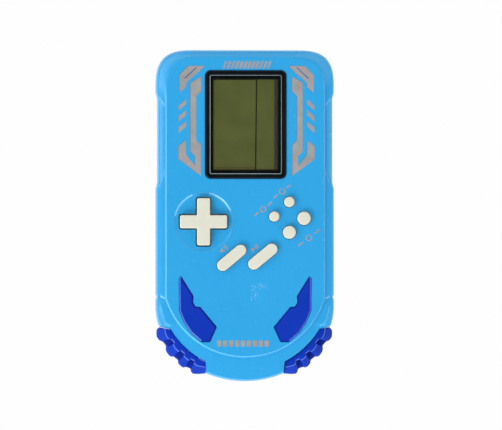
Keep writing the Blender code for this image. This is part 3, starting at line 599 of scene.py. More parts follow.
# (body, deck, cavity, recess factor from/to, groove factor from/to), right half, top to bottom
SEGS = [
    (line((0, 73.95), (22.87, 73.95), 12), line((0, 70.5), (18.9, 70.5), 12), line((0, 71.95), (22.1, 71.95), 12), (0, 0), (0, 0)),
    (sup(22.87, 56.95, 17, 17, 2.95, 30), sup(18.9, 54.0, 16.5, 16.5, 2.95, 30), sup(22.1, 57.0, 15.05, 14.95, 2.95, 30), (0, 0), (0, 0)),
    (line((39.87, 56.95), (39.87, 55.0), 3), line((35.4, 54.0), (35.4, 51.4), 3), line((37.15, 57), (37.15, 55), 3), (0, 0), (0, 0)),
    (line((39.87, 55.0), (39.30, 52.9), 5), line((35.4, 51.4), (35.4, 49.6), 5), line((37.15, 55), (37.15, 52.9), 5), (0, 0), (0, 0)),
    (line((39.30, 52.9), (39.15, 51.9), 5), line((35.4, 49.6), (35.4, 48.8), 5), line((37.15, 52.9), (37.15, 51.9), 5), (0, 1), (0, 0)),
    (line((39.15, 51.9), (39.15, 15.2), 24), line((35.4, 48.8), (35.4, 19.7), 24), line((37.15, 51.9), (37.15, 15.2), 24), (1, 1), (0, 0)),
    (line((39.15, 15.2), (39.30, 14.2), 5), line((35.4, 19.7), (35.4, 18.9), 5), line((37.15, 15.2), (37.15, 14.2), 5), (1, 0), (0, 0)),
    (line((39.30, 14.2), (39.87, 12.0), 5), line((35.4, 18.9), (35.4, 17.2), 5), line((37.15, 14.2), (37.15, 12.0), 5), (0, 0), (0, 0)),
    (line((39.87, 12.0), (39.87, -35.2), 24), line((35.4, 17.2), (35.4, -36.5), 24), line((37.15, 12), (37.15, -35.2), 24), (0, 0), (0, 0)),
    (line((39.87, -35.2), (39.4, -36.3), 3), line((35.4, -36.5), (35.4, -37.05), 3), line((37.15, -35.2), (37.15, -36.3), 3), (0, 0), (0, 1)),
    (line((39.4, -36.3), (39.87, -37.4), 3), arc(DECK_C, DECK_R, -17.4, -19.0, 3), line((37.15, -36.3), (37.15, -37.4), 3), (0, 0), (1, 0)),
    (smooth_path([(39.87, -37.4), (39.87, -41.5), (39.7, -43.5), (39.45, -45.3), (39.1, -47.0), (38.6, -48.7), (38.0, -49.65)], 18),
     arc(DECK_C, DECK_R, -19.0, -33.0, 18),
     smooth_path([(37.15, -37.4), (37.15, -41.2), (37.0, -43.0), (36.8, -44.5), (36.4, -45.8), (35.9, -47.0), (35.2, -47.7)], 18), (0, 0), (0, 0)),
    (line((38.0, -49.65), (33.344, -50.635), 6), arc(DECK_C, DECK_R, -33.0, -37.0, 6), line((35.2, -47.7), (32.0, -48.8), 6), (0, 0), (0, 0)),
    (arc(GRIP_C, GRIP_R, -31.0, -62.8, 36), arc(DECK_C, DECK_R, -37.0, -66.5, 36), arc(GRIP_C, 36.8, -29.6, -65.1, 36), (0, 0), (0, 0)),
    (line((17.781, -65.198), (17.4, -70.4), 8), arc(DECK_C, DECK_R, -66.5, -70.0, 8), line((15.494, -63.98), (15.35, -69.4), 8), (0, 0), (0, 0)),
    (arc(BOT_C, BOT_R, a_bot, -90, 18), arc(DECK_C, DECK_R, -70.0, -90.0, 18), smooth_path([(15.35, -69.4), (10.5, -70.8), (5.5, -71.6), (0, -71.9)], 18), (0, 0), (0, 0)),
]


def smoothstep(a, b, x):
    t = max(0.0, min(1.0, (x - a) / (b - a)))
    return t * t * (3 - 2 * t)


def gather():
    B, D, C, S, G, K = [], [], [], [], [], []
    for body, deck, cav, rec, grv in SEGS:
        n = len(body) - 1
        assert len(deck) - 1 == n and len(cav) - 1 == n, (len(body), len(deck), len(cav))
        for k in range(n):
            t = k / n
            e = t * t * (3 - 2 * t)
            B.append((min(body[k][0], 39.868), body[k][1])); D.append(deck[k]); C.append(cav[k])
            S.append(rec[0] + (rec[1] - rec[0]) * e)
            G.append(grv[0] + (grv[1] - grv[0]) * t)
            y = body[k][1]
            K.append(smoothstep(-39.5, -42.0, y) if -49.8 < y < -39.0 else (1.0 - smoothstep(-49.8, -50.7, y)) if -50.7 < y <= -49.8 else 0.0)
    B.append(SEGS[-1][0][-1]); D.append(SEGS[-1][1][-1]); C.append(SEGS[-1][2][-1]); S.append(0.0); G.append(0.0); K.append(0.0)

    def full(h):
        return h + [(-x, y) for x, y in reversed(h[1:-1])]

    def fullv(h):
        return h + list(reversed(h[1:-1]))
    return full(B), full(D), full(C), fullv(S), fullv(G), fullv(K)


BODY, DECK, CAV, REC, GRV, CREASE = gather()
N = len(BODY)


def inset(o, d):
    return [(x * (1 - d / HALF_W), y * (1 - d / HALF_L)) for x, y in o]


def between(a, b, t):
    return [(p[0] + (q[0] - p[0]) * t, p[1] + (q[1] - p[1]) * t) for p, q in zip(a, b)]


def deck_off(d):
    """Deck outline moved in by d along its own normals."""
    out = []
    for i in range(N):
        a, b = Vector(DECK[i - 1]), Vector(DECK[(i + 1) % N])
        t = (b - a).normalized()
        out.append((DECK[i][0] + t.y * d, DECK[i][1] - t.x * d))
    return out


# make sure +d goes inwards
_t = deck_off(1.0)
INWARD = 1.0 if abs(_t[len(SEGS[0][0]) + 40][0]) < abs(DECK[len(SEGS[0][0]) + 40][0]) else -1.0


RAISE = []          # the case rises to a crisp rim where it backs the grips
for i in range(N):
    x_, y_ = BODY[i]
    on = abs(math.hypot(x_ - GRIP_C[0], y_ - GRIP_C[1]) - GRIP_R) < 0.02 and y_ < -49.0
    RAISE.append(1.0 if on else 0.0)
for _ in range(16):
    RAISE = [max(RAISE[i], 0.5 * (RAISE[i - 1] + RAISE[(i + 1) % N]) * 0.985) if RAISE[i] < 1 else 1.0 for i in range(N)]

STEP = []           # height of the step round the deck: full at the sides, none at the top end
for i in range(N):
    y = DECK[i][1]
    left = DECK[i][0] < 0
    STEP.append(1.0 - smoothstep(50.0 if left else 56.0, 60.0 if left else 66.0, y))

# ============================================================= front shell
foot, deck = deck_off(-0.45 * INWARD), deck_off(0.0)
def inset_v(o, d, k):
    out = []
    for i, (x, y) in enumerate(o):
        dd = d * (1 - k * RAISE[i])
        out.append((x * (1 - dd / HALF_W), y * (1 - dd / HALF_L)))
    return out


shoulder = inset_v(BODY, 1.15, 0.62)
SH_Z = [22.30 + 0.30 * r for r in RAISE]


def band_ring(t, z_out, z_in, bulge):
    """Ring on the sloped band between the shoulder (t=0) and the foot of the deck (t=1)."""
    pts = []
    for i in range(N):
        x = shoulder[i][0] + (foot[i][0] - shoulder[i][0]) * t
        y = shoulder[i][1] + (foot[i][1] - shoulder[i][1]) * t
        zi = z_in - 0.70 * STEP[i]
        z = SH_Z[i] + (zi - SH_Z[i]) * t + (bulge - 0.1 * RAISE[i]) * math.sin(math.pi * t)
        z += CREASE[i] * 0.34 * min(t / 0.34, (1 - t) / 0.66)
        z -= 0.50 * REC[i] * (1 - 0.25 * t) + 0.45 * GRV[i] * (1 - 0.7 * t)
        pts.append((x, y, z))
    return pts


def wall_ring(d, z, rec=0.0):
    pts = inset_v(BODY, d, 0.62)
    return [(x, y, z + (z - 13.6 if z > 13.6 else 0.0) / 7.0 * (SH_Z[i] - 20.9) - rec * REC[i] - 0.3 * rec * GRV[i]) for i, (x, y) in enumerate(pts)]


rings = []
rings.append(at(deck_off(2.0 * INWARD), 22.0))                    # inner side of the deck
rings.append(at(CAV, 18.2))
rings.append(at(CAV, RIM_F + LIP + 0.3))
rings.append(at(between(BODY, CAV, 0.5), RIM_F + LIP + 0.3))
rings.append(at(between(BODY, CAV, 0.5), RIM_F))
rings.append(wall_ring(0.12, RIM_F))
rings.append(wall_ring(0.0, RIM_F + 0.12))
for d, z, r in ((0.0, 13.6, 0.0), (0.03, 15.4, 0.0), (0.07, 17.2, 0.05), (0.12, 18.3, 0.12), (0.20, 19.0, 0.2),
                (0.34, 19.6, 0.30), (0.55, 20.15, 0.36), (0.80, 20.6, 0.40), (0.98, 20.85, 0.42)):
    rings.append(wall_ring(d, z, r))
for t in (0.0, 0.08, 0.18, 0.27, 0.32, 0.34, 0.36, 0.41, 0.52, 0.66, 0.80, 0.92, 1.0):
    rings.append(band_ring(t, 22.30, 23.72, 0.06))
# step up to the deck and its rounded edge
o = deck_off(-0.16 * INWARD)
rings.append([(o[i][0], o[i][1], 23.78 - 0.48 * STEP[i]) for i in range(N)])
for k in range(0, 7):
    a = math.pi / 2 * k / 6
    r = 0.50
    o = deck_off((r * (1 - math.cos(a)) + 0.0) * INWARD)
    zz = [DECK_Z - 0.0 - r * (1 - math.sin(a)) * (0.35 + 0.65 * STEP[i]) for i in range(N)]
    rings.append([(o[i][0], o[i][1], zz[i]) for i in range(N)])
shell = loft(rings)
shell.faces.ensure_lookup_table()
n_r = len(rings)
T_BAND = (0.0, 0.08, 0.18, 0.27, 0.32, 0.34, 0.36, 0.41, 0.52, 0.66, 0.80, 0.92, 1.0)
b0 = n_r - 7 - 1 - len(T_BAND)                      # first ring of the band
# material 1 is a painted highlight on the edges named below, coloured lighter where light catches them
for k in range(n_r - 1):
    for i in range(N):
        f = shell.faces[k * N + i]
        j = (i + 1) % N
        rise = abs(REC[i] - REC[j]) > 0.02
        if k >= n_r - 6 and k <= n_r - 4 and min(STEP[i], STEP[j]) > 0.55:
            f.material_index = 1                    # edge of the deck
        elif b0 <= k < b0 + len(T_BAND) - 1 and rise and min(REC[i], REC[j]) < 0.30:
            f.material_index = 1                    # upper edge of the finger recess
        elif b0 <= k < b0 + len(T_BAND) - 1 and GRV[i] + GRV[j] > 1.2 and k > b0 + 1:
            f.material_index = 1                    # notch line
        elif k in (b0 + 4, b0 + 5) and min(CREASE[i], CREASE[j]) > 0.35:
            f.material_index = 1                    # crease of the lower corner

ROUND = {"button_power": (12.9, -0.5, 2.3), "button_reset": (19.6, 6.0, 2.35),
         "button_rotate_right": (26.15, -1.3, 3.0), "button_rotate_lower": (19.6, -7.55, 2.9)}
PILLS = {"button_start": ((3.8, -21.6), (11.7, -15.1), 2.6), "button_sound": ((-10.0, -22.2), (-2.15, -15.6), 2.6)}
CASE_SCREWS = [(-31.5, 63.0), (31.5, 63.0), (-32.5, -14.0), (32.5, -14.0), (-12.5, -61.8), (12.5, -61.8)]
PCB_SCREWS = [(-26.0, 54.0), (26.0, 54.0), (-26.5, -18.4), (26.5, -18.4)]
SX, SY = 0.2, 40.5
DX, DY, D_HALF, D_ARM = -18.6, -2.84, 10.85, 5.85
INLAY = [(28.7, -27.1), (23.2, -36.0), (23.4, -38.9), (22.2, -40.8), (20.1, -40.9), (12.8, -49.8),
         (15.8, -56.3), (19.5, -56.3), (24.1, -52.2), (27.3, -47.3), (29.3, -42.4), (29.4, -28.3)]
INLAY_R = [0.35, 0.5, 0.4, 0.5, 0.6, 0.6, 0.6, 0.9, 3.0, 3.0, 2.5, 0.4]


def flare(outline_at, gap, r, z_low, steps=4):
    """Cutter whose mouth has a rounded lip of radius r at the deck surface."""
    rr = [at(outline_at(gap), z_low)]
    for k in range(steps + 1):
        a = math.pi / 2 * k / steps
        rr.append(at(outline_at(gap + r * (1 - math.cos(a))), DECK_Z - r + r * math.sin(a)))
    rr.append(at(outline_at(gap + r), DECK_Z + 1.5))
    return loft(rr)


cross_pts = []
h_, a_ = D_HALF - 0.33, D_ARM / 2
for q in range(4):
    c_, s_ = math.cos(math.pi / 2 * q), math.sin(math.pi / 2 * q)
    for x, y in ((h_, -a_), (h_, a_), (a_, a_)):
        cross_pts.append((DX + x * c_ - y * s_, DY + x * s_ + y * c_))
CROSS_R = [0.75, 0.75, 0.35] * 4


def cross_at(d):
    return rpoly(cross_pts, CROSS_R, d, 6)


add, cut = [], []
for x, y in CASE_SCREWS:
    add.append(turned(x, y, [(2.8, RIM_F + 0.05), (2.8, 20.6 if y < -40 else 22.3)], 28))
    cut.append(turned(x, y, [(1.3, 12.0), (1.3, 18.0)], 20))
for x, y in PCB_SCREWS:
    add.append(turned(x, y, [(2.2, 17.7), (2.2, 22.4)], 24))
    cut.append(turned(x, y, [(1.05, 17.0), (1.05, 21.2)], 16))
add.append(prism(rrect(SX, SY, 38.5, 50.5, 3.0, 4), 21.0, 22.4))
cut.append(flare(lambda d: rrect(SX, SY, 35.9 + 2 * d, 47.9 + 2 * d, 2.3 + d, 10), 0.22, 0.18, 22.5))
cut.append(prism(rrect(SX, SY, 31.9, 43.5, 1.2, 4), 20.0, 23.0))
for x, y, r in ROUND.values():
    cut.append(flare(lambda d, x=x, y=y, r=r: circle(x, y, r + d, 56), 0.26, 0.10, 21.0))
for p, q, r in PILLS.values():
    cut.append(flare(lambda d, p=p, q=q, r=r: capsule(p, q, r + d, 22), 0.24, 0.10, 21.0))
dish = [(13.30, 25.5), (13.30, DECK_Z), (13.18, DECK_Z - 0.02), (13.05, DECK_Z - 0.07), (12.75, DECK_Z - 0.24),
        (12.60, DECK_Z - 0.30), (12.45, DECK_Z - 0.33), (12.3, DECK_Z - 0.34)]
for k in range(1, 11):
    t = k / 10
    dish.append((12.3 * (1 - t) + 0.3 * t, DECK_Z - 0.34 - 0.56 * math.sin(math.pi / 2 * t)))
cut.append(turned(DX, DY, dish, 96))
cut.append(loft([at(cross_at(0.62), 21.0), at(cross_at(0.62), 25.0)]))
for sgn in (-1, 1):
    pts = [(sgn * x, y) for x, y in INLAY]
    rad = INLAY_R
    cut.append(flare(lambda d, pts=pts, rad=rad: rpoly(pts, rad, d, 4), 0.20, 0.08, 23.0))


def radial_block(sign, r0, r1, half, z0, z1):
    a = math.radians(-54.0)
    u = Vector((sign * math.cos(a), math.sin(a)))
    v = Vector((-u.y, u.x))
    c = Vector(GRIP_C)
    quad = [c + u * r0 - v * half, c + u * r1 - v * half, c + u * r1 + v * half, c + u * r0 + v * half]
    return prism([tuple(p) for p in quad], z0, z1)


for sgn in (-1, 1):
    cut.append(radial_block(sgn, 34.0, 41.0, 2.8, 12.0, 15.2))
shell = carve(shell, add, cut)
shell.normal_update()
for f in shell.faces:
    c_ = f.calc_center_median()
    r_ = math.hypot(c_.x - DX, c_.y - DY)
    if 12.3 < r_ < 13.32 and DECK_Z - 0.36 < c_.z < DECK_Z + 0.01 and 0.2 < f.normal.z < 0.995:
        a_ = math.degrees(math.atan2(c_.y - DY, c_.x - DX))
        if 22 < a_ < 78 or 112 < a_ < 168:
            f.material_index = 1                    # painted highlight on the rim of the cross pad's dish
place(finish_mesh("front_case", shell, [M_BODY, M_BODY_PAINTED_HIGHLIGHT], 28), "body", "front_shell", slot="light_blue_abs")

# ============================================================== rear shell
BAY_X, BAY_Y0, BAY_Y1, BAY_Z, W = 27.4, -53.2, -23.6, 17.0, 1.2


def bay(grow, chamfer):
    x, y0, y1 = BAY_X + grow, BAY_Y0 - grow, BAY_Y1 + grow
    return [(-x, y0 + chamfer), (-x + chamfer, y0), (x - chamfer, y0), (x, y0 + chamfer), (x, y1), (-x, y1)]


rr = [at(inset(CAV, 0.7), 2.0), at(CAV, RIM_R + LIP), at(between(BODY, CAV, 0.66), RIM_R + LIP),
      at(between(BODY, CAV, 0.66), RIM_R), at(inset(BODY, 0.12), RIM_R), at(BODY, RIM_R - 0.12)]
for d, z in ((0.10, 10.0), (0.22, 7.0), (0.36, 4.2), (0.50, 2.4), (0.66, 1.5), (0.90, 0.85), (1.2, 0.42), (1.55, 0.15), (1.95, 0.02), (2.2, 0.0)):
    rr.append(at(inset(BODY, d), z))
rear = loft(rr)
add, cut = [], []
for x, y in CASE_SCREWS:
    add.append(turned(x, y, [(3.2, 1.0), (3.2, 12.3)], 32))
    cut.append(turned(x, y, [(2.85, -1.0), (2.85, 0.0), (2.7, 0.12), (2.6, 0.3), (2.6, 5.5)], 36))
    cut.append(turned(x, y, [(1.35, 4.0), (1.35, 14.0)], 20))
add.append(prism(bay(W, 2.4), 1.0, BAY_Z + W))
cut.append(prism(bay(0.0, 1.7), -1.0, BAY_Z))
for x in (-15.0, 15.0):
    cut.append(box(x - 3.4, x + 3.4, BAY_Y0 - 1.0, BAY_Y0 + 0.5, 0.9, 3.2))
cut.append(prism(rrect(0.0, BAY_Y1 + 0.35, 10.4, 3.7, 1.0, 4), -1.0, 1.55))
cut.append(box(-27.4, -26.2, BAY_Y1 - 0.5, BAY_Y1 + W + 0.5, 10.4, 13.6))
cut.append(box(-BAY_X - W - 0.5, -BAY_X + 0.5, -47.2, -44.4, 12.1, 13.4))
add.append(ring_body([at(circle(0, 22, 11.6, 48), 1.0), at(circle(0, 22, 11.6, 48), 4.2),
                      at(circle(0, 22, 10.5, 48), 4.2), at(circle(0, 22, 10.5, 48), 1.0)]))
for i in range(7):
    hx, hy = (0.0, 22.0) if i == 0 else (4.2 * math.cos(math.radians(60 * i)), 22 + 4.2 * math.sin(math.radians(60 * i)))
    cut.append(turned(hx, hy, [(1.0, -1.0), (1.0, 0.0), (0.86, 0.1), (0.8, 0.3), (0.8, 3.0)], 20))
for sgn in (-1, 1):
    cut.append(radial_block(sgn, 34.0, 41.0, 2.8, 10.6, 14.6))
rear = carve(rear, add, cut)
place(finish_mesh("rear_case", rear, M_BODY, 28), "body", "rear_shell", slot="light_blue_abs")

# ============================================================ battery door
def door_at(d):
    return rpoly(bay(-0.4, 1.6), 0.25, d, 3)


door = loft([at(door_at(0.0), 1.9)] + [at(door_at(-0.30 * (1 - math.cos(a))), 0.6 - 0.30 * math.sin(a))
                                       for a in (0.0, math.pi / 6, math.pi / 3, math.pi / 2)])
add = [prism(rrect(x, -52.9, 6.0, 2.0, 0.2, 3), 1.2, 1.8) for x in (-15.0, 15.0)]
add.append(loft([at(rrect(0, -23.2, 9.4, 2.8, 0.7, 5), 1.25), at(rrect(0, -23.2, 9.4, 2.8, 0.7, 5), 0.5),
                 at(rrect(0, -23.2, 9.0, 2.4, 0.6, 5), 0.3)]))
cut = []
for i in range(6):
    y = -27.2 - 1.15 * i
    cut.append(loft([at(rrect(0, y, 13.0, 0.85, 0.3, 3), -0.5), at(rrect(0, y, 13.0, 0.85, 0.3, 3), 0.3),
                     at(rrect(0, y, 12.6, 0.35, 0.12, 3), 0.75)]))
# moulded arrow that shows which way the door opens
cut.append(prism([(-2.6, -37.2), (0.0, -34.6), (2.6, -37.2), (1.0, -37.2), (1.0, -40.4), (-1.0, -40.4), (-1.0, -37.2)], -0.5, 0.62))
door = carve(door, add, cut)
place(finish_mesh("battery_cover", door, M_BODY, 28), "battery_door", "battery_door", slot="light_blue_abs")

# =================================================================== grips
OUT_KEYS = [(38.12, -49.85, 1), (38.55, -50.25, 1), (39.2, -51.1, 1), (39.3, -52.6, 1), (39.05, -54.3, 1), (38.0, -55.7, 1), (37.3, -55.95, 1), (36.95, -56.05, 0),
            (36.1, -56.7, 0), (35.15, -57.85, 0), (35.0, -58.3, 0), (35.05, -58.75, 1), (35.1, -59.6, 1), (34.8, -60.9, 1), (33.6, -62.5, 1),
            (32.6, -63.05, 1), (32.15, -62.95, 1), (31.8, -62.85, 0), (30.8, -63.55, 0), (29.8, -64.4, 0), (29.6, -64.75, 0), (29.55, -65.15, 1), (29.5, -65.9, 1),
            (28.6, -67.1, 1), (27.3, -67.85, 1), (26.7, -67.75, 1), (26.35, -67.55, 0), (25.3, -67.85, 0), (24.3, -68.25, 0), (24.05, -68.5, 0),
            (23.9, -68.9, 1), (23.75, -69.8, 1), (22.9, -70.65, 1), (20.4, -70.75, 1), (17.6, -70.5, 1)]


def grip_slices(sub=3):
    keys = [(Vector((x, y)), l) for x, y, l in OUT_KEYS]
    L = [0.0]
    for (p, _), (q, _) in zip(keys, keys[1:]):
        L.append(L[-1] + (q - p).length)
    out = []
    for i in range(len(keys) - 1):
        (p, lp), (q, lq) = keys[i], keys[i + 1]
        n = 1 if (q - p).length < 0.6 else sub
        for k in range(n):
            t = k / n
            out.append((p.lerp(q, t), lp + (lq - lp) * t, (L[i] + (L[i + 1] - L[i]) * t) / L[-1]))
    out.append((keys[-1][0], keys[-1][1], 1.0))
    return out


def grip(sign, name, node):
    # (fraction from the inner to the outer side, height): a crisp ridge divides the top from the tread
    prof_lump = [(0.0, 2.3), (0.0, 20.85), (0.02, 21.02), (0.05, 21.08), (0.20, 21.04), (0.40, 20.94), (0.425, 20.90), (0.445, 20.83),
                 (0.475, 20.60), (0.55, 19.85), (0.90, 15.9), (0.955, 15.1), (0.985, 14.3), (1.0, 13.2), (1.0, 5.0),
                 (0.975, 3.6), (0.91, 2.6), (0.80, 1.95), (0.60, 1.75), (0.10, 1.75), (0.03, 1.9)]
    prof_val = [(0.0, 2.3), (0.0, 20.85), (0.02, 21.02), (0.05, 21.08), (0.20, 21.04), (0.29, 20.98), (0.315, 20.92), (0.335, 20.84),
                (0.365, 20.5), (0.45, 17.4), (0.80, 16.2), (0.91, 15.4), (0.97, 14.4), (1.0, 13.2), (1.0, 5.0),
                (0.975, 3.6), (0.91, 2.6), (0.80, 1.95), (0.60, 1.75), (0.10, 1.75), (0.03, 1.9)]
    slices = []
    c, r_in = Vector(GRIP_C), GRIP_R + 0.10
    lumps = [l for _, l, _ in grip_slices()]
    for p_out, lump, t in grip_slices():
        a = math.radians(-31.12 + (-62.68 + 31.12) * t)
        p_in = c + Vector((math.cos(a), math.sin(a))) * r_in
        pts, step = [], smoothstep(0.25, 0.75, lump)
        for (fl, zl), (fv, zv) in zip(prof_lump, prof_val):
            f, z = fv + (fl - fv) * step, zv + (zl - zv) * step
            p = p_in.lerp(p_out, f)
            pts.append((sign * p.x, p.y, z))
        slices.append(pts)
    bm = loft(slices)
    bm.faces.ensure_lookup_table()
    n_p = len(prof_lump)
    for k in range(len(slices) - 1):
        # faces 6 and 7 on the ridge take a painted highlight
        for i in (6, 7):
            bm.faces[k * n_p + i].material_index = 1
        # faces in the valleys between lumps take painted shade
        if lumps[k] + lumps[k + 1] < 0.9:
            for i in (8, 9, 10, 11):
                bm.faces[k * n_p + i].material_index = 2
    tongue = radial_block(sign, 35.4, 40.0, 2.5, 10.9, 14.9)
    bm = carve(bm, [tongue], [])
    ob = finish_mesh(name, bm, [M_GRIP, M_GRIP_RIDGE_HIGHLIGHT, M_DEEP_BLUE_PAINTED_SHADE], 22)
    return place(ob, "body", node, slot="dark_blue_plastic")


grip(-1, "corner_grip_left", "left_grip")
grip(1, "corner_grip_right", "right_grip")

# ================================================================== inlays
for sgn, name in ((-1, "left_inlay"), (1, "right_inlay")):
    pts = [(sgn * x, y) for x, y in INLAY]

    def inl(d, pts=pts):
        return rpoly(pts, INLAY_R, d, 4)
    bm = loft([at(inl(0.0), 23.3), at(inl(0.0), 24.02), at(inl(-0.05), 24.10), at(inl(-0.40), 24.30), at(inl(-0.55), 24.36),
               at(inl(-0.8), 24.385)])
    bm.normal_update()
    for f in bm.faces:
        c_ = f.calc_center_median()
        # outer sloped faces take a painted highlight, all other sloped faces painted shade
        if f.normal.z < 0.97:
            outer = abs(c_.x) > 28.3 or (math.hypot(c_.x, c_.y + 25.95) > 32.6 and abs(c_.x) > 19.6)
            f.material_index = 1 if outer and f.normal.z > 0.45 else 2
    place(finish_mesh(name + "_panel", bm, [M_DARK, M_INLAY_EDGE_HIGHLIGHT, M_DEEP_BLUE_PAINTED_SHADE], 20), "body", name, slot="dark_blue_plastic")

# ================================================================== screen
R = lambda w, h, r: rrect(SX, SY, w, h, r, 10)
bz = [at(R(35.9, 47.9, 2.3), 22.8), at(R(35.9, 47.9, 2.3), 24.2)]
for k in range(1, 6):
    a = math.pi / 2 * k / 5
    bz.append(at(R(35.9 - 0.8 * (1 - math.cos(a)), 47.9 - 0.8 * (1 - math.cos(a)), 2.3 - 0.4 * (1 - math.cos(a))), 24.2 + 0.4 * math.sin(a)))
bz += [at(R(33.2, 45.3, 1.3), 24.6), at(R(32.85, 44.95, 1.15), 24.52), at(R(32.7, 44.8, 1.1), 24.35), at(R(32.7, 44.8, 1.1), 23.4),
       at(R(29.7, 41.3, 0.7), 23.4), at(R(29.6, 41.2, 0.6), 23.3), at(R(29.6, 41.2, 0.6), 21.3),
       at(R(31.3, 42.9, 1.0), 21.3), at(R(31.3, 42.9, 1.0), 22.8)]
place(finish_mesh("bezel", ring_body(bz), M_BEZEL, 35), "body", "screen_bezel", slot="black_bezel")

bm = loft([at(R(32.1, 44.2, 0.8), 23.7), at(R(32.1, 44.2, 0.8), 24.08)], caps=(True, False), mat=0)
for f in bm.faces:
    f.material_index = 1 if abs(f.normal.z) < 0.5 and len(f.verts) == 4 else 0
edge = [v for v in bm.verts if abs(v.co.z - 24.08) < 1e-4]
bm.free()
lens_rings = [at(R(31.5, 43.6, 0.6), 23.7), at(R(32.1, 44.2, 0.8), 23.7), at(R(32.1, 44.2, 0.8), 24.12), at(R(31.62, 43.72, 0.62), 24.3),
              at(R(31.5, 43.6, 0.6), 24.3)]
bm = loft(lens_rings)
bm.faces.ensure_lookup_table()
n_ = len(lens_rings[0])
# the lens rim faces carry a painted highlight; the top face stays clear
for k in range(4):
    for i in range(n_):
        bm.faces[k * n_ + i].material_index = 1 if k in (1, 2, 3) else 0
place(finish_mesh("lens", bm, [M_LENS, M_LENS_EDGE_HIGHLIGHT], 30), "body", "screen_lens", slot="clear_lens")

# LCD: two bonded glass plates with a polariser on top, and the printed field frame
bm = loft([at(R(32.6, 43.6, 0.25), 18.7), at(R(32.6, 43.6, 0.25), 19.6), at(R(32.3, 43.3, 0.2), 19.62), at(R(32.3, 43.3, 0.2), 20.45),
           at(R(31.6, 42.6, 0.2), 20.47), at(R(31.6, 42.6, 0.2), 20.64), at(R(31.5, 42.5, 0.2), 20.66)])
place(finish_mesh("lcd_glass", bm, M_LCD, 30), "body", "lcd_panel", slot="lcd_glass")
R2 = lambda w, h, r: rrect(SX, SY, w, h, r, 4)
bm = loft([at(R2(29.1, 40.9, 0.3), 20.66), at(R2(29.1, 40.9, 0.3), 22.86), at(R2(29.0, 40.8, 0.25), 22.90), at(R2(28.7, 40.5, 0.2), 22.90)])
place(finish_mesh("lcd_polariser", bm, M_LCD, 30), "body", slot="lcd_glass")
bm = prism([(4.36, 20.3), (4.90, 20.3), (5.36, 60.75), (4.80, 60.75)], 22.885, 22.925)
prism([(-14.1, 60.42), (4.9, 60.42), (4.9, 60.75), (-14.1, 60.75)], 22.885, 22.915, bm)
place(finish_mesh("lcd_field_frame", bm, M_LCDLINE, 30), "body", slot="lcd_glass")
bm = prism([(-13.4, 21.0), (4.45, 21.0), (4.45, 21.45), (-13.4, 21.45)], 22.885, 22.915)
place(finish_mesh("lcd_field_base", bm, M_LCDBROWN, 30), "body", slot="lcd_glass")

# ================================================================= buttons
def cap_profile(r, top=26.0, edge=0.38, crown=0.05):
    prof = [(r + 0.9, 20.0), (r + 0.9, 21.2), (r + 0.8, 21.3), (r + 0.12, 21.3), (r, 21.42), (r, top - edge - crown)]
    for k in range(1, 7):
        a = math.pi / 2 * k / 6
        prof.append((r - edge * (1 - math.cos(a)), top - edge - crown + edge * math.sin(a)))
    for k in range(1, 5):
        t = k / 4
        rr_ = (r - edge) * (1 - t) + 0.02 * t
        prof.append((rr_, top - crown * (rr_ / (r - edge)) ** 2))
    return prof


for name, (x, y, r) in ROUND.items():
    place(finish_mesh(name + "_cap", turned(x, y, cap_profile(r), 64), M_CREAM, 30), name, name, slot="cream_button_plastic")
for name, (p, q, r) in PILLS.items():
    prof = cap_profile(r, crown=0.05)[:-1]
    bm = loft([at(capsule(p, q, rr_, 24), z) for rr_, z in prof[:-3]] + [at(capsule(p, q, r - 0.9, 24), 25.96), at(capsule(p, q, r - 1.6, 24), 25.98)])
    place(finish_mesh(name + "_cap", bm, M_CREAM, 30), name, name, slot="cream_button_plastic")

# cross pad: flanged foot, slightly dished centre, rounded edges
pad = [at(cross_at(0.9), 19.35), at(cross_at(0.9), 20.0), at(cross_at(0.8), 20.1), at(cross_at(0.1), 20.1), at(cross_at(0.0), 20.2),
       at(cross_at(0.0), 25.75)]
for k in range(1, 7):
    a = math.pi / 2 * k / 6
    pad.append(at(cross_at(-0.45 * (1 - math.cos(a))), 25.85 + 0.45 * math.sin(a)))
pad.append(at(cross_at(-0.6), 26.32))
bm = carve(loft(pad), [], [turned(DX, DY, [(2.3, 18.0), (2.3, 20.2), (1.7, 21.3)], 32),
                           turned(DX, DY, [(0.05, 26.24), (1.2, 26.25), (2.4, 26.28), (3.2, 26.33), (3.6, 26.8)], 48)])
place(finish_mesh("cross_pad", bm, M_CREAM, 28), "dpad", "dpad", slot="cream_button_plastic")

# ============================================================ silver print
def px(x, y):
    """Places the print's corner points, given on a grid 0.447 mm wide."""
    return ((x - 245.0) * 0.447, (215.75 - y) * 0.447)


PRINT_C = (246.3 - 245.0) * 0.447
A1 = [(188, 66.9), (204, 66.7), (198.7, 72.6), (191.4, 78.7), (186, 83.7), (186, 87.9), (179.5, 93.3), (179.2, 76.1)]
B1 = [(201, 77.2), (201, 91.4), (196, 96.7), (196, 140.7), (200.6, 145.7), (200.6, 176.3), (178.4, 159.5), (178.4, 146.9),
      (185.7, 140.7), (186, 155.3), (194.8, 166.4), (194.8, 156.4), (190.3, 152.2), (190.3, 83.7)]
BARS = [[(185.7, 100.2), (185.7, 104.4), (178.8, 110.9), (178.8, 106.7)],
        [(185.7, 110.9), (185.7, 115.5), (178.8, 122.0), (178.8, 117.4)],
        [(185.7, 122.0), (185.7, 126.6), (178.8, 133.5), (178.8, 128.5)]]
Z_INK0, Z_INK1 = 23.97, 24.035


def ink(points_px, bm, radius=0.10):
    for mirror in (False, True):
        pts = [px(x, y) for x, y in points_px]
        if mirror:
            pts = [(2 * PRINT_C - x, y) for x, y in pts]
        prism(rpoly(pts, radius, 0.0, 2), Z_INK0, Z_INK1, bm)


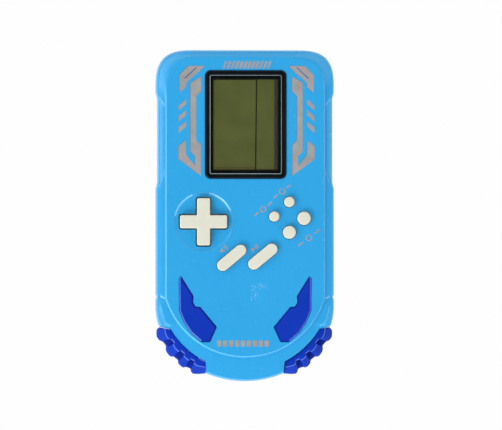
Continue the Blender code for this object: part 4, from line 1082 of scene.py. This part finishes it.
bm = bmesh.new()
for shape in [A1, B1]:
    ink(shape, bm)
for shape in BARS:
    ink([(x + (0.25 if k < 2 else -0.25), y + (-0.3 if k in (0, 3) else 0.3)) for k, (x, y) in enumerate(shape)], bm)
place(finish_mesh("deck_print_frames", bm, M_INK, 30, weighted=False), "body", slot="black_bezel")


# dark blue copy of each print shape, shifted left and up under the ink: a painted shadow along the print's left and
# top edges
M_INK_PAINTED_SHADOW = moulded("ink_painted_shadow", (0.05, 0.20, 0.33), rough=0.4, spec=0.3)
bm = bmesh.new()
for shape in [A1, B1] + BARS:
    for mirror in (False, True):
        pts = [px(x - 0.28, y - 0.12) for x, y in shape]
        if mirror:
            pts = [px(2 * 246.3 - x - 0.28, y - 0.12) for x, y in shape]
        prism(rpoly(pts, 0.12, 0.10, 2), Z_INK0, Z_INK1 - 0.022, bm)
place(finish_mesh("deck_print_painted_shadow", bm, M_INK_PAINTED_SHADOW, 30, weighted=False), "body", slot="black_bezel")
M_SLIT = moulded("ink_slit", (0.01, 0.10, 0.30), rough=0.4, spec=0.3)
bm = bmesh.new()
for mirror in (1, -1):
    pts = [px(x, y) for x, y in ((196.0, 67.9), (196.7, 68.4), (184.9, 79.6), (184.2, 79.0))]
    if mirror < 0:
        pts = [(2 * PRINT_C - x, y) for x, y in pts]
    prism(rpoly(pts, 0.05, 0.0, 2), Z_INK1 - 0.03, Z_INK1 + 0.012, bm)
place(finish_mesh("deck_print_slits", bm, M_SLIT, 30, weighted=False), "body", slot="black_bezel")


def slanted(x0, y0, w, h, lean):
    return [(x0, y0), (x0 + w, y0), (x0 + w + lean, y0 + h), (x0 + lean, y0 + h)]


# plain motifs in the places of the wording: slanted bars at the top, blocks at the bottom
bm = bmesh.new()
for k in range(12):
    w = 1.30 - 0.07 * abs(k - 5.5)
    prism(slanted(-10.2 + 1.80 * k, 65.5, w, 3.3, 1.3), Z_INK0, Z_INK1, bm)
for k in range(9):
    x = -12.5 + 2.64 * k
    prism(rpoly([(x, -58.4), (x + 1.9, -58.4), (x + 1.9, -55.7), (x, -55.7)], 0.25, 0, 2), Z_INK0, Z_INK1, bm)
place(finish_mesh("deck_print_motifs", bm, M_INK, 30, weighted=False), "body", slot="black_bezel")


# generic control symbols
def stroke(points, w, bm, closed=False):
    """Flat ribbon of width w along points."""
    P = [Vector(p) for p in points]
    n = len(P)
    L, Rr = [], []
    for i in range(n):
        a = P[i - 1] if (i > 0 or closed) else P[i]
        b = P[(i + 1) % n] if (i < n - 1 or closed) else P[i]
        t = (b - a).normalized()
        nn = Vector((-t.y, t.x)) * (w / 2)
        L.append(tuple(P[i] + nn)); Rr.append(tuple(P[i] - nn))
    vt = [[bm.verts.new((x, y, z)) for x, y in side] for side in (L, Rr) for z in (Z_INK0, Z_INK1)]
    l0, l1, r0, r1 = vt
    rng = range(n if closed else n - 1)
    for i in rng:
        j = (i + 1) % n
        bm.faces.new((l1[i], l1[j], r1[j], r1[i]))
        bm.faces.new((l0[j], l0[i], r0[i], r0[j]))
        bm.faces.new((l0[i], l0[j], l1[j], l1[i]))
        bm.faces.new((r0[j], r0[i], r1[i], r1[j]))
    if not closed:
        bm.faces.new((l0[0], l1[0], r1[0], r0[0]))
        bm.faces.new((l1[-1], l0[-1], r0[-1], r1[-1]))


def turn_pts(pts, c, deg):
    ca, sa = math.cos(math.radians(deg)), math.sin(math.radians(deg))
    return [(c[0] + x * ca - y * sa, c[1] + x * sa + y * ca) for x, y in pts]


bm = bmesh.new()
ANG = 39.0
# power: broken ring and a bar, between two short rules
c = px(262.8, 209.4)
stroke(turn_pts(arc((0, 0), 1.25, 130, 410, 20), c, ANG), 0.52, bm)
prism(turn_pts([(-0.2, 0.3), (0.2, 0.3), (0.2, 1.6), (-0.2, 1.6)], c, ANG), Z_INK0, Z_INK1, bm)
# reset: open ring with an arrow head
c = px(281.8, 191.6)
stroke(turn_pts(arc((0, 0), 1.25, 60, 350, 20), c, ANG), 0.52, bm)
prism(turn_pts([(0.45, -0.35), (1.85, -0.35), (1.2, 0.75)], c, ANG), Z_INK0, Z_INK1, bm)
for a, b in ((px(253.9, 216.3), px(258.4, 212.6)), (px(267.4, 205.6), px(271.7, 202.2)), (px(273.2, 198.2), px(277.2, 195.0)),
             (px(286.4, 188.0), px(290.2, 185.4))):
    stroke([a, b], 0.62, bm)
# sound: speaker with two waves
c = px(223.6, 249.3)
prism(turn_pts([(-1.9, -0.55), (-1.1, -0.55), (-0.2, -1.35), (-0.2, 1.35), (-1.1, 0.55), (-1.9, 0.55)], c, ANG), Z_INK0, Z_INK1, bm)
stroke(turn_pts(arc((-0.3, 0), 1.15, -45, 45, 8), c, ANG), 0.36, bm)
stroke(turn_pts(arc((-0.3, 0), 2.0, -45, 45, 10), c, ANG), 0.36, bm)
# start and pause: triangle and two bars
c = px(254.4, 248.4)
prism(turn_pts([(-1.7, -1.1), (0.1, 0.0), (-1.7, 1.1)], c, ANG), Z_INK0, Z_INK1, bm)
prism(turn_pts([(0.55, -1.05), (0.95, -1.05), (0.95, 1.05), (0.55, 1.05)], c, ANG), Z_INK0, Z_INK1, bm)
prism(turn_pts([(1.35, -1.05), (1.75, -1.05), (1.75, 1.05), (1.35, 1.05)], c, ANG), Z_INK0, Z_INK1, bm)
# rotate: two chasing arcs with heads
c = px(308.4, 238.0)
for k in (0, 180):
    stroke(turn_pts(arc((0, 0), 1.25, 20 + k, 150 + k, 12), c, ANG), 0.40, bm)
    hx_, hy_ = 1.25 * math.cos(math.radians(158 + k)), 1.25 * math.sin(math.radians(158 + k))
    s_ = 1 if k == 0 else -1
    prism(turn_pts([(hx_ - 0.62 * s_, hy_ + 0.1 * s_), (hx_ + 0.62 * s_, hy_ + 0.22 * s_), (hx_ - 0.05 * s_, hy_ - 0.75 * s_)][::1], c, ANG),
          Z_INK0, Z_INK1, bm)
for a, b in ((px(297.6, 246.2), px(302.6, 242.4)), (px(314.2, 233.6), px(319.4, 229.9))):
    stroke([a, b], 0.62, bm)
place(finish_mesh("deck_print_symbols", bm, M_INK, 30, weighted=False), "body", slot="black_bezel")

# a rubbed patch below the buttons: a few fine raised scratches
M_SCRATCH = moulded("scratched_plastic", srgb(150, 206, 244), rough=0.6, spec=0.3, variation=0.12)
bm = bmesh.new()
Z_KEEP = (Z_INK0, Z_INK1)
Z_INK0, Z_INK1 = 23.975, 24.012
rng = random.Random(11)
spots = []
for k in range(34):
    if k < 19:
        spots.append((250.5 + 15.5 * (k + rng.random()) / 19, 286.0 + rng.uniform(-1.9, 1.9)))
    else:
        spots.append((253.0 + rng.uniform(-2.2, 2.2), 288.5 + 12.5 * (k - 19 + rng.random()) / 15))
for x, y in spots:
    ang, ln = rng.uniform(0.0, math.pi), rng.uniform(0.12, 0.50)
    x0, y0 = px(x, y)
    dx, dy = ln * math.cos(ang) / 2, ln * math.sin(ang) / 2
    stroke([(x0 - dx, y0 - dy), (x0, y0 + 0.03), (x0 + dx, y0 + dy)], rng.uniform(0.17, 0.27), bm)
Z_INK0, Z_INK1 = Z_KEEP
place(finish_mesh("deck_scratches", bm, M_SCRATCH, 30, weighted=False), "body", slot="light_blue_abs")

# ================================================== keypads, board, inside
def assign(node, *mats):
    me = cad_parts[node].data
    me.materials.clear()
    for m in mats:
        me.materials.append(m)


for node, m in {"lcd_holder": M_WHITE, "zebra_strip": M_ZEBRA, "dpad_pivot": M_WHITE, "dpad_membrane": M_RUBBER,
                "button_membrane": M_RUBBER, "pill_membrane": M_RUBBER, "chip_blob": M_EPOXY, "transistor": M_EPOXY,
                "capacitor": M_SLEEVE, "buzzer": M_BRASS, "wire_red": M_RED, "wire_black": M_BLACKPVC,
                "wire_buzzer_1": M_RED, "wire_buzzer_2": M_BLACKPVC}.items():
    assign(node, m)


def board_material():
    m = Mat("green_board", 0.4, spec=0.5, coat=0.2)
    n = m.noise(70.0, 3.0, 0.6)
    col = m.ramp(n, [(0.3, (0.012, 0.12, 0.035)), (0.7, (0.02, 0.17, 0.05))])
    # tracks: narrow bands of a distorted wave
    w = m.node("ShaderNodeTexWave", wave_type='BANDS')
    w.inputs["Scale"].default_value = 190.0
    w.inputs["Distortion"].default_value = 0.0
    m.link(m.tc.outputs["Object"], w.inputs["Vector"])
    col = m.mix(col, (0.03, 0.26, 0.08), m.maprange(w.outputs["Fac"], 0.70, 0.78, 0.0, 1.0))
    m.base(col)
    return m.m


assign("circuit_board", board_material())

# ============================================================ cells, springs
def cell_material(flip):
    """Plain two-tone sleeve with a thin bright ring, steel ends."""
    m = Mat("cell_sleeve" + ("_b" if flip < 0 else "_a"), 0.28, spec=0.5, coat=0.25)
    x, y, z = m.xyz()
    s = m.math('MULTIPLY', x, float(flip))
    n = m.noise(300.0, 3.0, 0.6)
    graphite = m.ramp(n, [(0.3, (0.028, 0.030, 0.034)), (0.7, (0.045, 0.047, 0.052))])
    col = m.mix(graphite, (0.52, 0.54, 0.50), m.maprange(s, -0.0092, -0.0090, 1.0, 0.0))
    ring = m.math('MULTIPLY', m.maprange(s, -0.0078, -0.0077, 0.0, 1.0), m.maprange(s, -0.0068, -0.0067, 1.0, 0.0))
    col = m.mix(col, (0.10, 0.42, 0.16), ring)
    m.base(col)
    m.bump(n, 0.05, 0.00003)
    return m.m


for node, y, flip in (("battery_1", -31.0, 1), ("battery_2", -45.8, -1)):
    sleeve = [(-23.75, 6.55), (-23.95, 6.7), (-24.0, 6.85), (-23.9, 7.0), (-23.7, 7.08), (-23.3, 7.1), (24.3, 7.1), (24.75, 7.06),
              (24.95, 6.95), (25.02, 6.75), (24.9, 6.55)]
    bm = along_x(sleeve, y, 9.6, 64, flip)
    ob = finish_mesh(node + "_sleeve", bm, cell_material(flip), 30)
    place(ob, "body", node, slot="battery_sleeve")
    ends = [(-25.25, 0.3), (-25.25, 2.1), (-25.15, 2.5), (-24.9, 2.72), (-24.35, 2.75), (-24.2, 3.0), (-24.2, 5.9), (-24.05, 6.3), (-23.8, 6.5),
            (24.9, 6.5), (25.1, 6.2), (25.1, 5.6), (25.18, 5.3), (25.25, 4.8), (25.25, 0.3)]
    ob = finish_mesh(node + "_can", along_x(ends, y, 9.6, 64, flip), M_TIN, 30)
    place(ob, "body", slot="nickel_contact")


def spring(sign, y, z, bm, r0=4.6, r1=3.0, x0=26.7, x1=25.62, turns=3.2):
    pts = []
    n = int(turns * 28)
    for k in range(n + 1):
        t = k / n
        a = 2 * math.pi * turns * t
        e = min(1.0, max(0.0, (t * turns - 0.4) / (turns - 0.9)))
        rr_ = r0 + (r1 - r0) * t
        pts.append((sign * (x0 + (x1 - x0) * e), y + rr_ * math.cos(a), z + rr_ * math.sin(a)))
    return tube(pts, 0.24, 10, bm)


def plate(y0, y1, z0, z1, sign):
    xs = (26.72, 27.1)
    pts = rpoly([(y0, z0), (y1, z0), (y1, z1), (y0, z1)], 0.8, 0, 5)
    return loft([[(sign * xs[0], a, b) for a, b in pts], [(sign * xs[1], a, b) for a, b in pts]])


def contact_button(sign, y, z, bm):
    along_x([(26.75, 3.2), (26.6, 3.1), (26.3, 2.7), (25.75, 2.5), (25.62, 2.3), (25.6, 1.9)], y, z, 36, sign, bm)


bm = plate(-36.0, -26.0, 5.0, 14.6, -1)
box(-27.1, -26.72, -26.5, -21.4, 10.8, 13.2, bm)
contact_button(-1, -31.0, 9.6, bm)
place(finish_mesh("plus_contact", bm, M_NICKEL, 30, weighted=False), "body", "contact_plus", slot="nickel_contact")
bm = plate(-50.5, -41.0, 5.0, 14.6, -1)
box(-30.0, -26.9, -46.8, -44.8, 12.5, 12.95, bm)
spring(-1, -45.8, 9.6, bm)
place(finish_mesh("minus_contact", bm, M_NICKEL, 30, weighted=False), "body", "contact_minus_spring", slot="nickel_contact")
bm = plate(-50.5, -26.3, 5.0, 14.6, 1)
spring(1, -31.0, 9.6, bm)
contact_button(1, -45.8, 9.6, bm)
place(finish_mesh("bridge_contact", bm, M_NICKEL, 30, weighted=False), "body", "contact_bridge", slot="nickel_contact")

# ================================================================== screws
def threaded(x, y, z0, z1, r_root, r_top, pitch, bm=None, n=20):
    rings = []
    steps = int((z1 - z0) / pitch * 6)
    for k in range(steps + 1):
        z = z0 + (z1 - z0) * k / steps
        fade = min(1.0, (z - z0) / (pitch * 1.2), (z1 - z) / (pitch * 1.5) + 0.15)
        ring = []
        for i in range(n):
            ph = ((z - z0) / pitch - i / n) % 1.0
            tri = max(0.0, 1.0 - abs(ph - 0.5) * 4.0)
            tip = 1.0 - 0.6 * smoothstep(z1 - 1.2, z1, z)
            rad = (r_root + (r_top - r_root) * tri * max(0.0, fade)) * tip
            ring.append((x + rad * math.cos(2 * math.pi * i / n), y + rad * math.sin(2 * math.pi * i / n), z))
        rings.append(ring)
    return rings


def screw(x, y, head, name, node, z0, z1, r_root, r_top, pitch, recess):
    rings = [at(circle(x, y, r, 20), z) for r, z in head] + threaded(x, y, z0, z1, r_root, r_top, pitch)
    z_top = head[0][1]
    s = recess
    cr = [(s * 0.28, -s), (s * 0.28, -s * 0.28), (s, -s * 0.28), (s, s * 0.28), (s * 0.28, s * 0.28), (s * 0.28, s), (-s * 0.28, s),
          (-s * 0.28, s * 0.28), (-s, s * 0.28), (-s, -s * 0.28), (-s * 0.28, -s * 0.28), (-s * 0.28, -s)]
    cutter = loft([[(x + a, y + b, z_top - 0.5) for a, b in cr], [(x + a, y + b, z_top + 0.1) for a, b in cr],
                   [(x + a * 0.55, y + b * 0.55, z_top + s * 0.85) for a, b in cr]])
    bm = carve(loft(rings), [], [cutter])
    place(finish_mesh(name, bm, M_STEEL, 30, weighted=False), "body", node, slot="zinc_screw")


for i, (x, y) in enumerate(CASE_SCREWS, 1):
    screw(x, y, [(0.9, 3.3), (1.5, 3.36), (1.95, 3.62), (2.15, 4.0), (2.2, 4.4), (2.2, 5.05), (2.1, 5.2), (0.95, 5.2)], f"case_screw_{i}_steel",
          f"case_screw_{i}", 5.3, 16.7, 0.78, 1.08, 0.95, 1.25)
for i, (x, y) in enumerate(PCB_SCREWS, 1):
    screw(x, y, [(0.8, 14.1), (1.3, 14.16), (1.7, 14.4), (1.88, 14.8), (1.9, 15.4), (1.8, 15.5), (0.7, 15.5)], f"board_screw_{i}",
          f"pcb_screw_{i}", 15.6, 20.9, 0.55, 0.78, 0.7, 1.0)

# ============================================================ stage, light
floor_m = bpy.data.materials.new("pale_floor")
floor_m.use_nodes = True
nt = floor_m.node_tree
nt.nodes.clear()
o_ = nt.nodes.new("ShaderNodeOutputMaterial")
mx = nt.nodes.new("ShaderNodeMixShader")
em = nt.nodes.new("ShaderNodeEmission")
tr = nt.nodes.new("ShaderNodeBsdfTransparent")
geo = nt.nodes.new("ShaderNodeNewGeometry")
em.inputs["Color"].default_value = (0.99, 0.99, 0.99, 1)
em.inputs["Strength"].default_value = 1.0
nt.links.new(geo.outputs["Backfacing"], mx.inputs[0])
nt.links.new(em.outputs[0], mx.inputs[1])
nt.links.new(tr.outputs[0], mx.inputs[2])
nt.links.new(mx.outputs[0], o_.inputs["Surface"])
me = bpy.data.meshes.new("floor")
s_ = 3.0
me.from_pydata([(-s_, -s_, -0.0004), (s_, -s_, -0.0004), (s_, s_, -0.0004), (-s_, s_, -0.0004)], [], [(0, 1, 2, 3)])
me.materials.append(floor_m)
floor = link(bpy.data.objects.new("floor", me))

world = bpy.data.worlds.new("studio")
SC.world = world
world.use_nodes = True
nt = world.node_tree
nt.nodes.clear()
wo = nt.nodes.new("ShaderNodeOutputWorld")
bg_cam = nt.nodes.new("ShaderNodeBackground")
bg = nt.nodes.new("ShaderNodeBackground")
mix = nt.nodes.new("ShaderNodeMixShader")
lp = nt.nodes.new("ShaderNodeLightPath")
tc = nt.nodes.new("ShaderNodeTexCoord")
sep = nt.nodes.new("ShaderNodeSeparateXYZ")
mr = nt.nodes.new("ShaderNodeMapRange")
ramp = nt.nodes.new("ShaderNodeValToRGB")
bg_cam.inputs["Color"].default_value = (0.99, 0.99, 0.99, 1)
bg_cam.inputs["Strength"].default_value = 1.0
bg.inputs["Strength"].default_value = 0.55
cr = ramp.color_ramp
cr.elements[0].position, cr.elements[0].color = 0.0, (0.40, 0.40, 0.40, 1)
cr.elements[1].position, cr.elements[1].color = 1.0, (0.06, 0.06, 0.06, 1)
for pos, v in ((0.25, 0.50), (0.40, 1.0), (0.68, 1.0), (0.82, 0.07)):
    e = cr.elements.new(pos)
    e.color = (v, v, v, 1)
nt.links.new(tc.outputs["Generated"], sep.inputs[0])
nt.links.new(sep.outputs[2], mr.inputs["Value"])
mr.inputs["From Min"].default_value = 0.0
mr.inputs["From Max"].default_value = 1.0
nt.links.new(mr.outputs["Result"], ramp.inputs["Fac"])
# the ring of light is stronger towards the lower left of the object
dot = nt.nodes.new("ShaderNodeVectorMath")
dot.operation = 'DOT_PRODUCT'
dot.inputs[1].default_value = (-0.80, -0.60, 0.0)
side = nt.nodes.new("ShaderNodeMapRange")
side.inputs["From Min"].default_value = -0.3
side.inputs["From Max"].default_value = 0.85
side.inputs["To Min"].default_value = 0.92
side.inputs["To Max"].default_value = 1.75
nt.links.new(tc.outputs["Generated"], dot.inputs[0])
nt.links.new(dot.outputs["Value"], side.inputs["Value"])
tint = nt.nodes.new("ShaderNodeVectorMath")
tint.operation = 'SCALE'
nt.links.new(ramp.outputs["Color"], tint.inputs[0])
nt.links.new(side.outputs["Result"], tint.inputs["Scale"])
nt.links.new(tint.outputs[0], bg.inputs["Color"])
gl_ = nt.nodes.new("ShaderNodeMapRange")
gl_.inputs["To Min"].default_value = 1.38
gl_.inputs["To Max"].default_value = 2.3
nt.links.new(lp.outputs["Is Glossy Ray"], gl_.inputs["Value"])
nt.links.new(gl_.outputs["Result"], bg.inputs["Strength"])
nt.links.new(lp.outputs["Is Camera Ray"], mix.inputs[0])
nt.links.new(bg.outputs[0], mix.inputs[1])
nt.links.new(bg_cam.outputs[0], mix.inputs[2])
nt.links.new(mix.outputs[0], wo.inputs["Surface"])


def area(name, loc, energy, size, colour=(1, 1, 1), target=(0, 0, 0.015)):
    l = bpy.data.lights.new(name, 'AREA')
    l.shape = 'DISK'
    l.size = size
    l.energy = energy
    l.color = colour
    ob = link(bpy.data.objects.new(name, l))
    ob.location = loc
    ob.rotation_mode = 'QUATERNION'
    ob.rotation_quaternion = (Vector(loc) - Vector(target)).to_track_quat('Z', 'Y')
    return ob


def strip(name, loc, energy, sx, sy, target=(0, 0, 0.015), glossy=True, colour=(1, 1, 1)):
    ob = area(name, loc, energy, sx, colour, target)
    ob.data.shape = 'RECTANGLE'
    ob.data.size, ob.data.size_y = sx, sy
    d = (Vector(loc) - Vector(target)).normalized()
    yy = Vector((0, 1, 0))
    xx = yy.cross(d).normalized()
    ob.rotation_quaternion = Matrix((xx, d.cross(xx), d)).transposed().to_quaternion()
    ob.visible_glossy = glossy
    return ob


area("lower_left_key", (-0.55, -0.62, 0.62), 2.6, 0.30)

SC.view_settings.view_transform = 'Standard'
SC.view_settings.look = 'None'

# ================================================================== camera
cam_d = bpy.data.cameras.new("camera")
cam = link(bpy.data.objects.new("camera", cam_d))
SC.camera = cam
DIST = 2.6
TILT, LEFT = math.radians(1.0), math.radians(2.0)
aim = Vector(((251.0 - 244.6) * 0.447 * MM, (215.75 - 215.0) * 0.447 * MM, 0.0150))
back = Vector((-math.sin(LEFT), -math.sin(TILT), math.sqrt(1 - math.sin(LEFT) ** 2 - math.sin(TILT) ** 2)))
cam.location = aim + back * DIST
right = Vector((0, 1, 0)).cross(back).normalized()
up = back.cross(right)
cam.rotation_mode = 'QUATERNION'
cam.rotation_quaternion = Matrix((right, up, back)).transposed().to_quaternion()
cam_d.sensor_width = 36.0
cam_d.lens = 36.0 * DIST / (502 * 0.447 * MM)
cam_d.clip_start, cam_d.clip_end = 0.05, 50.0
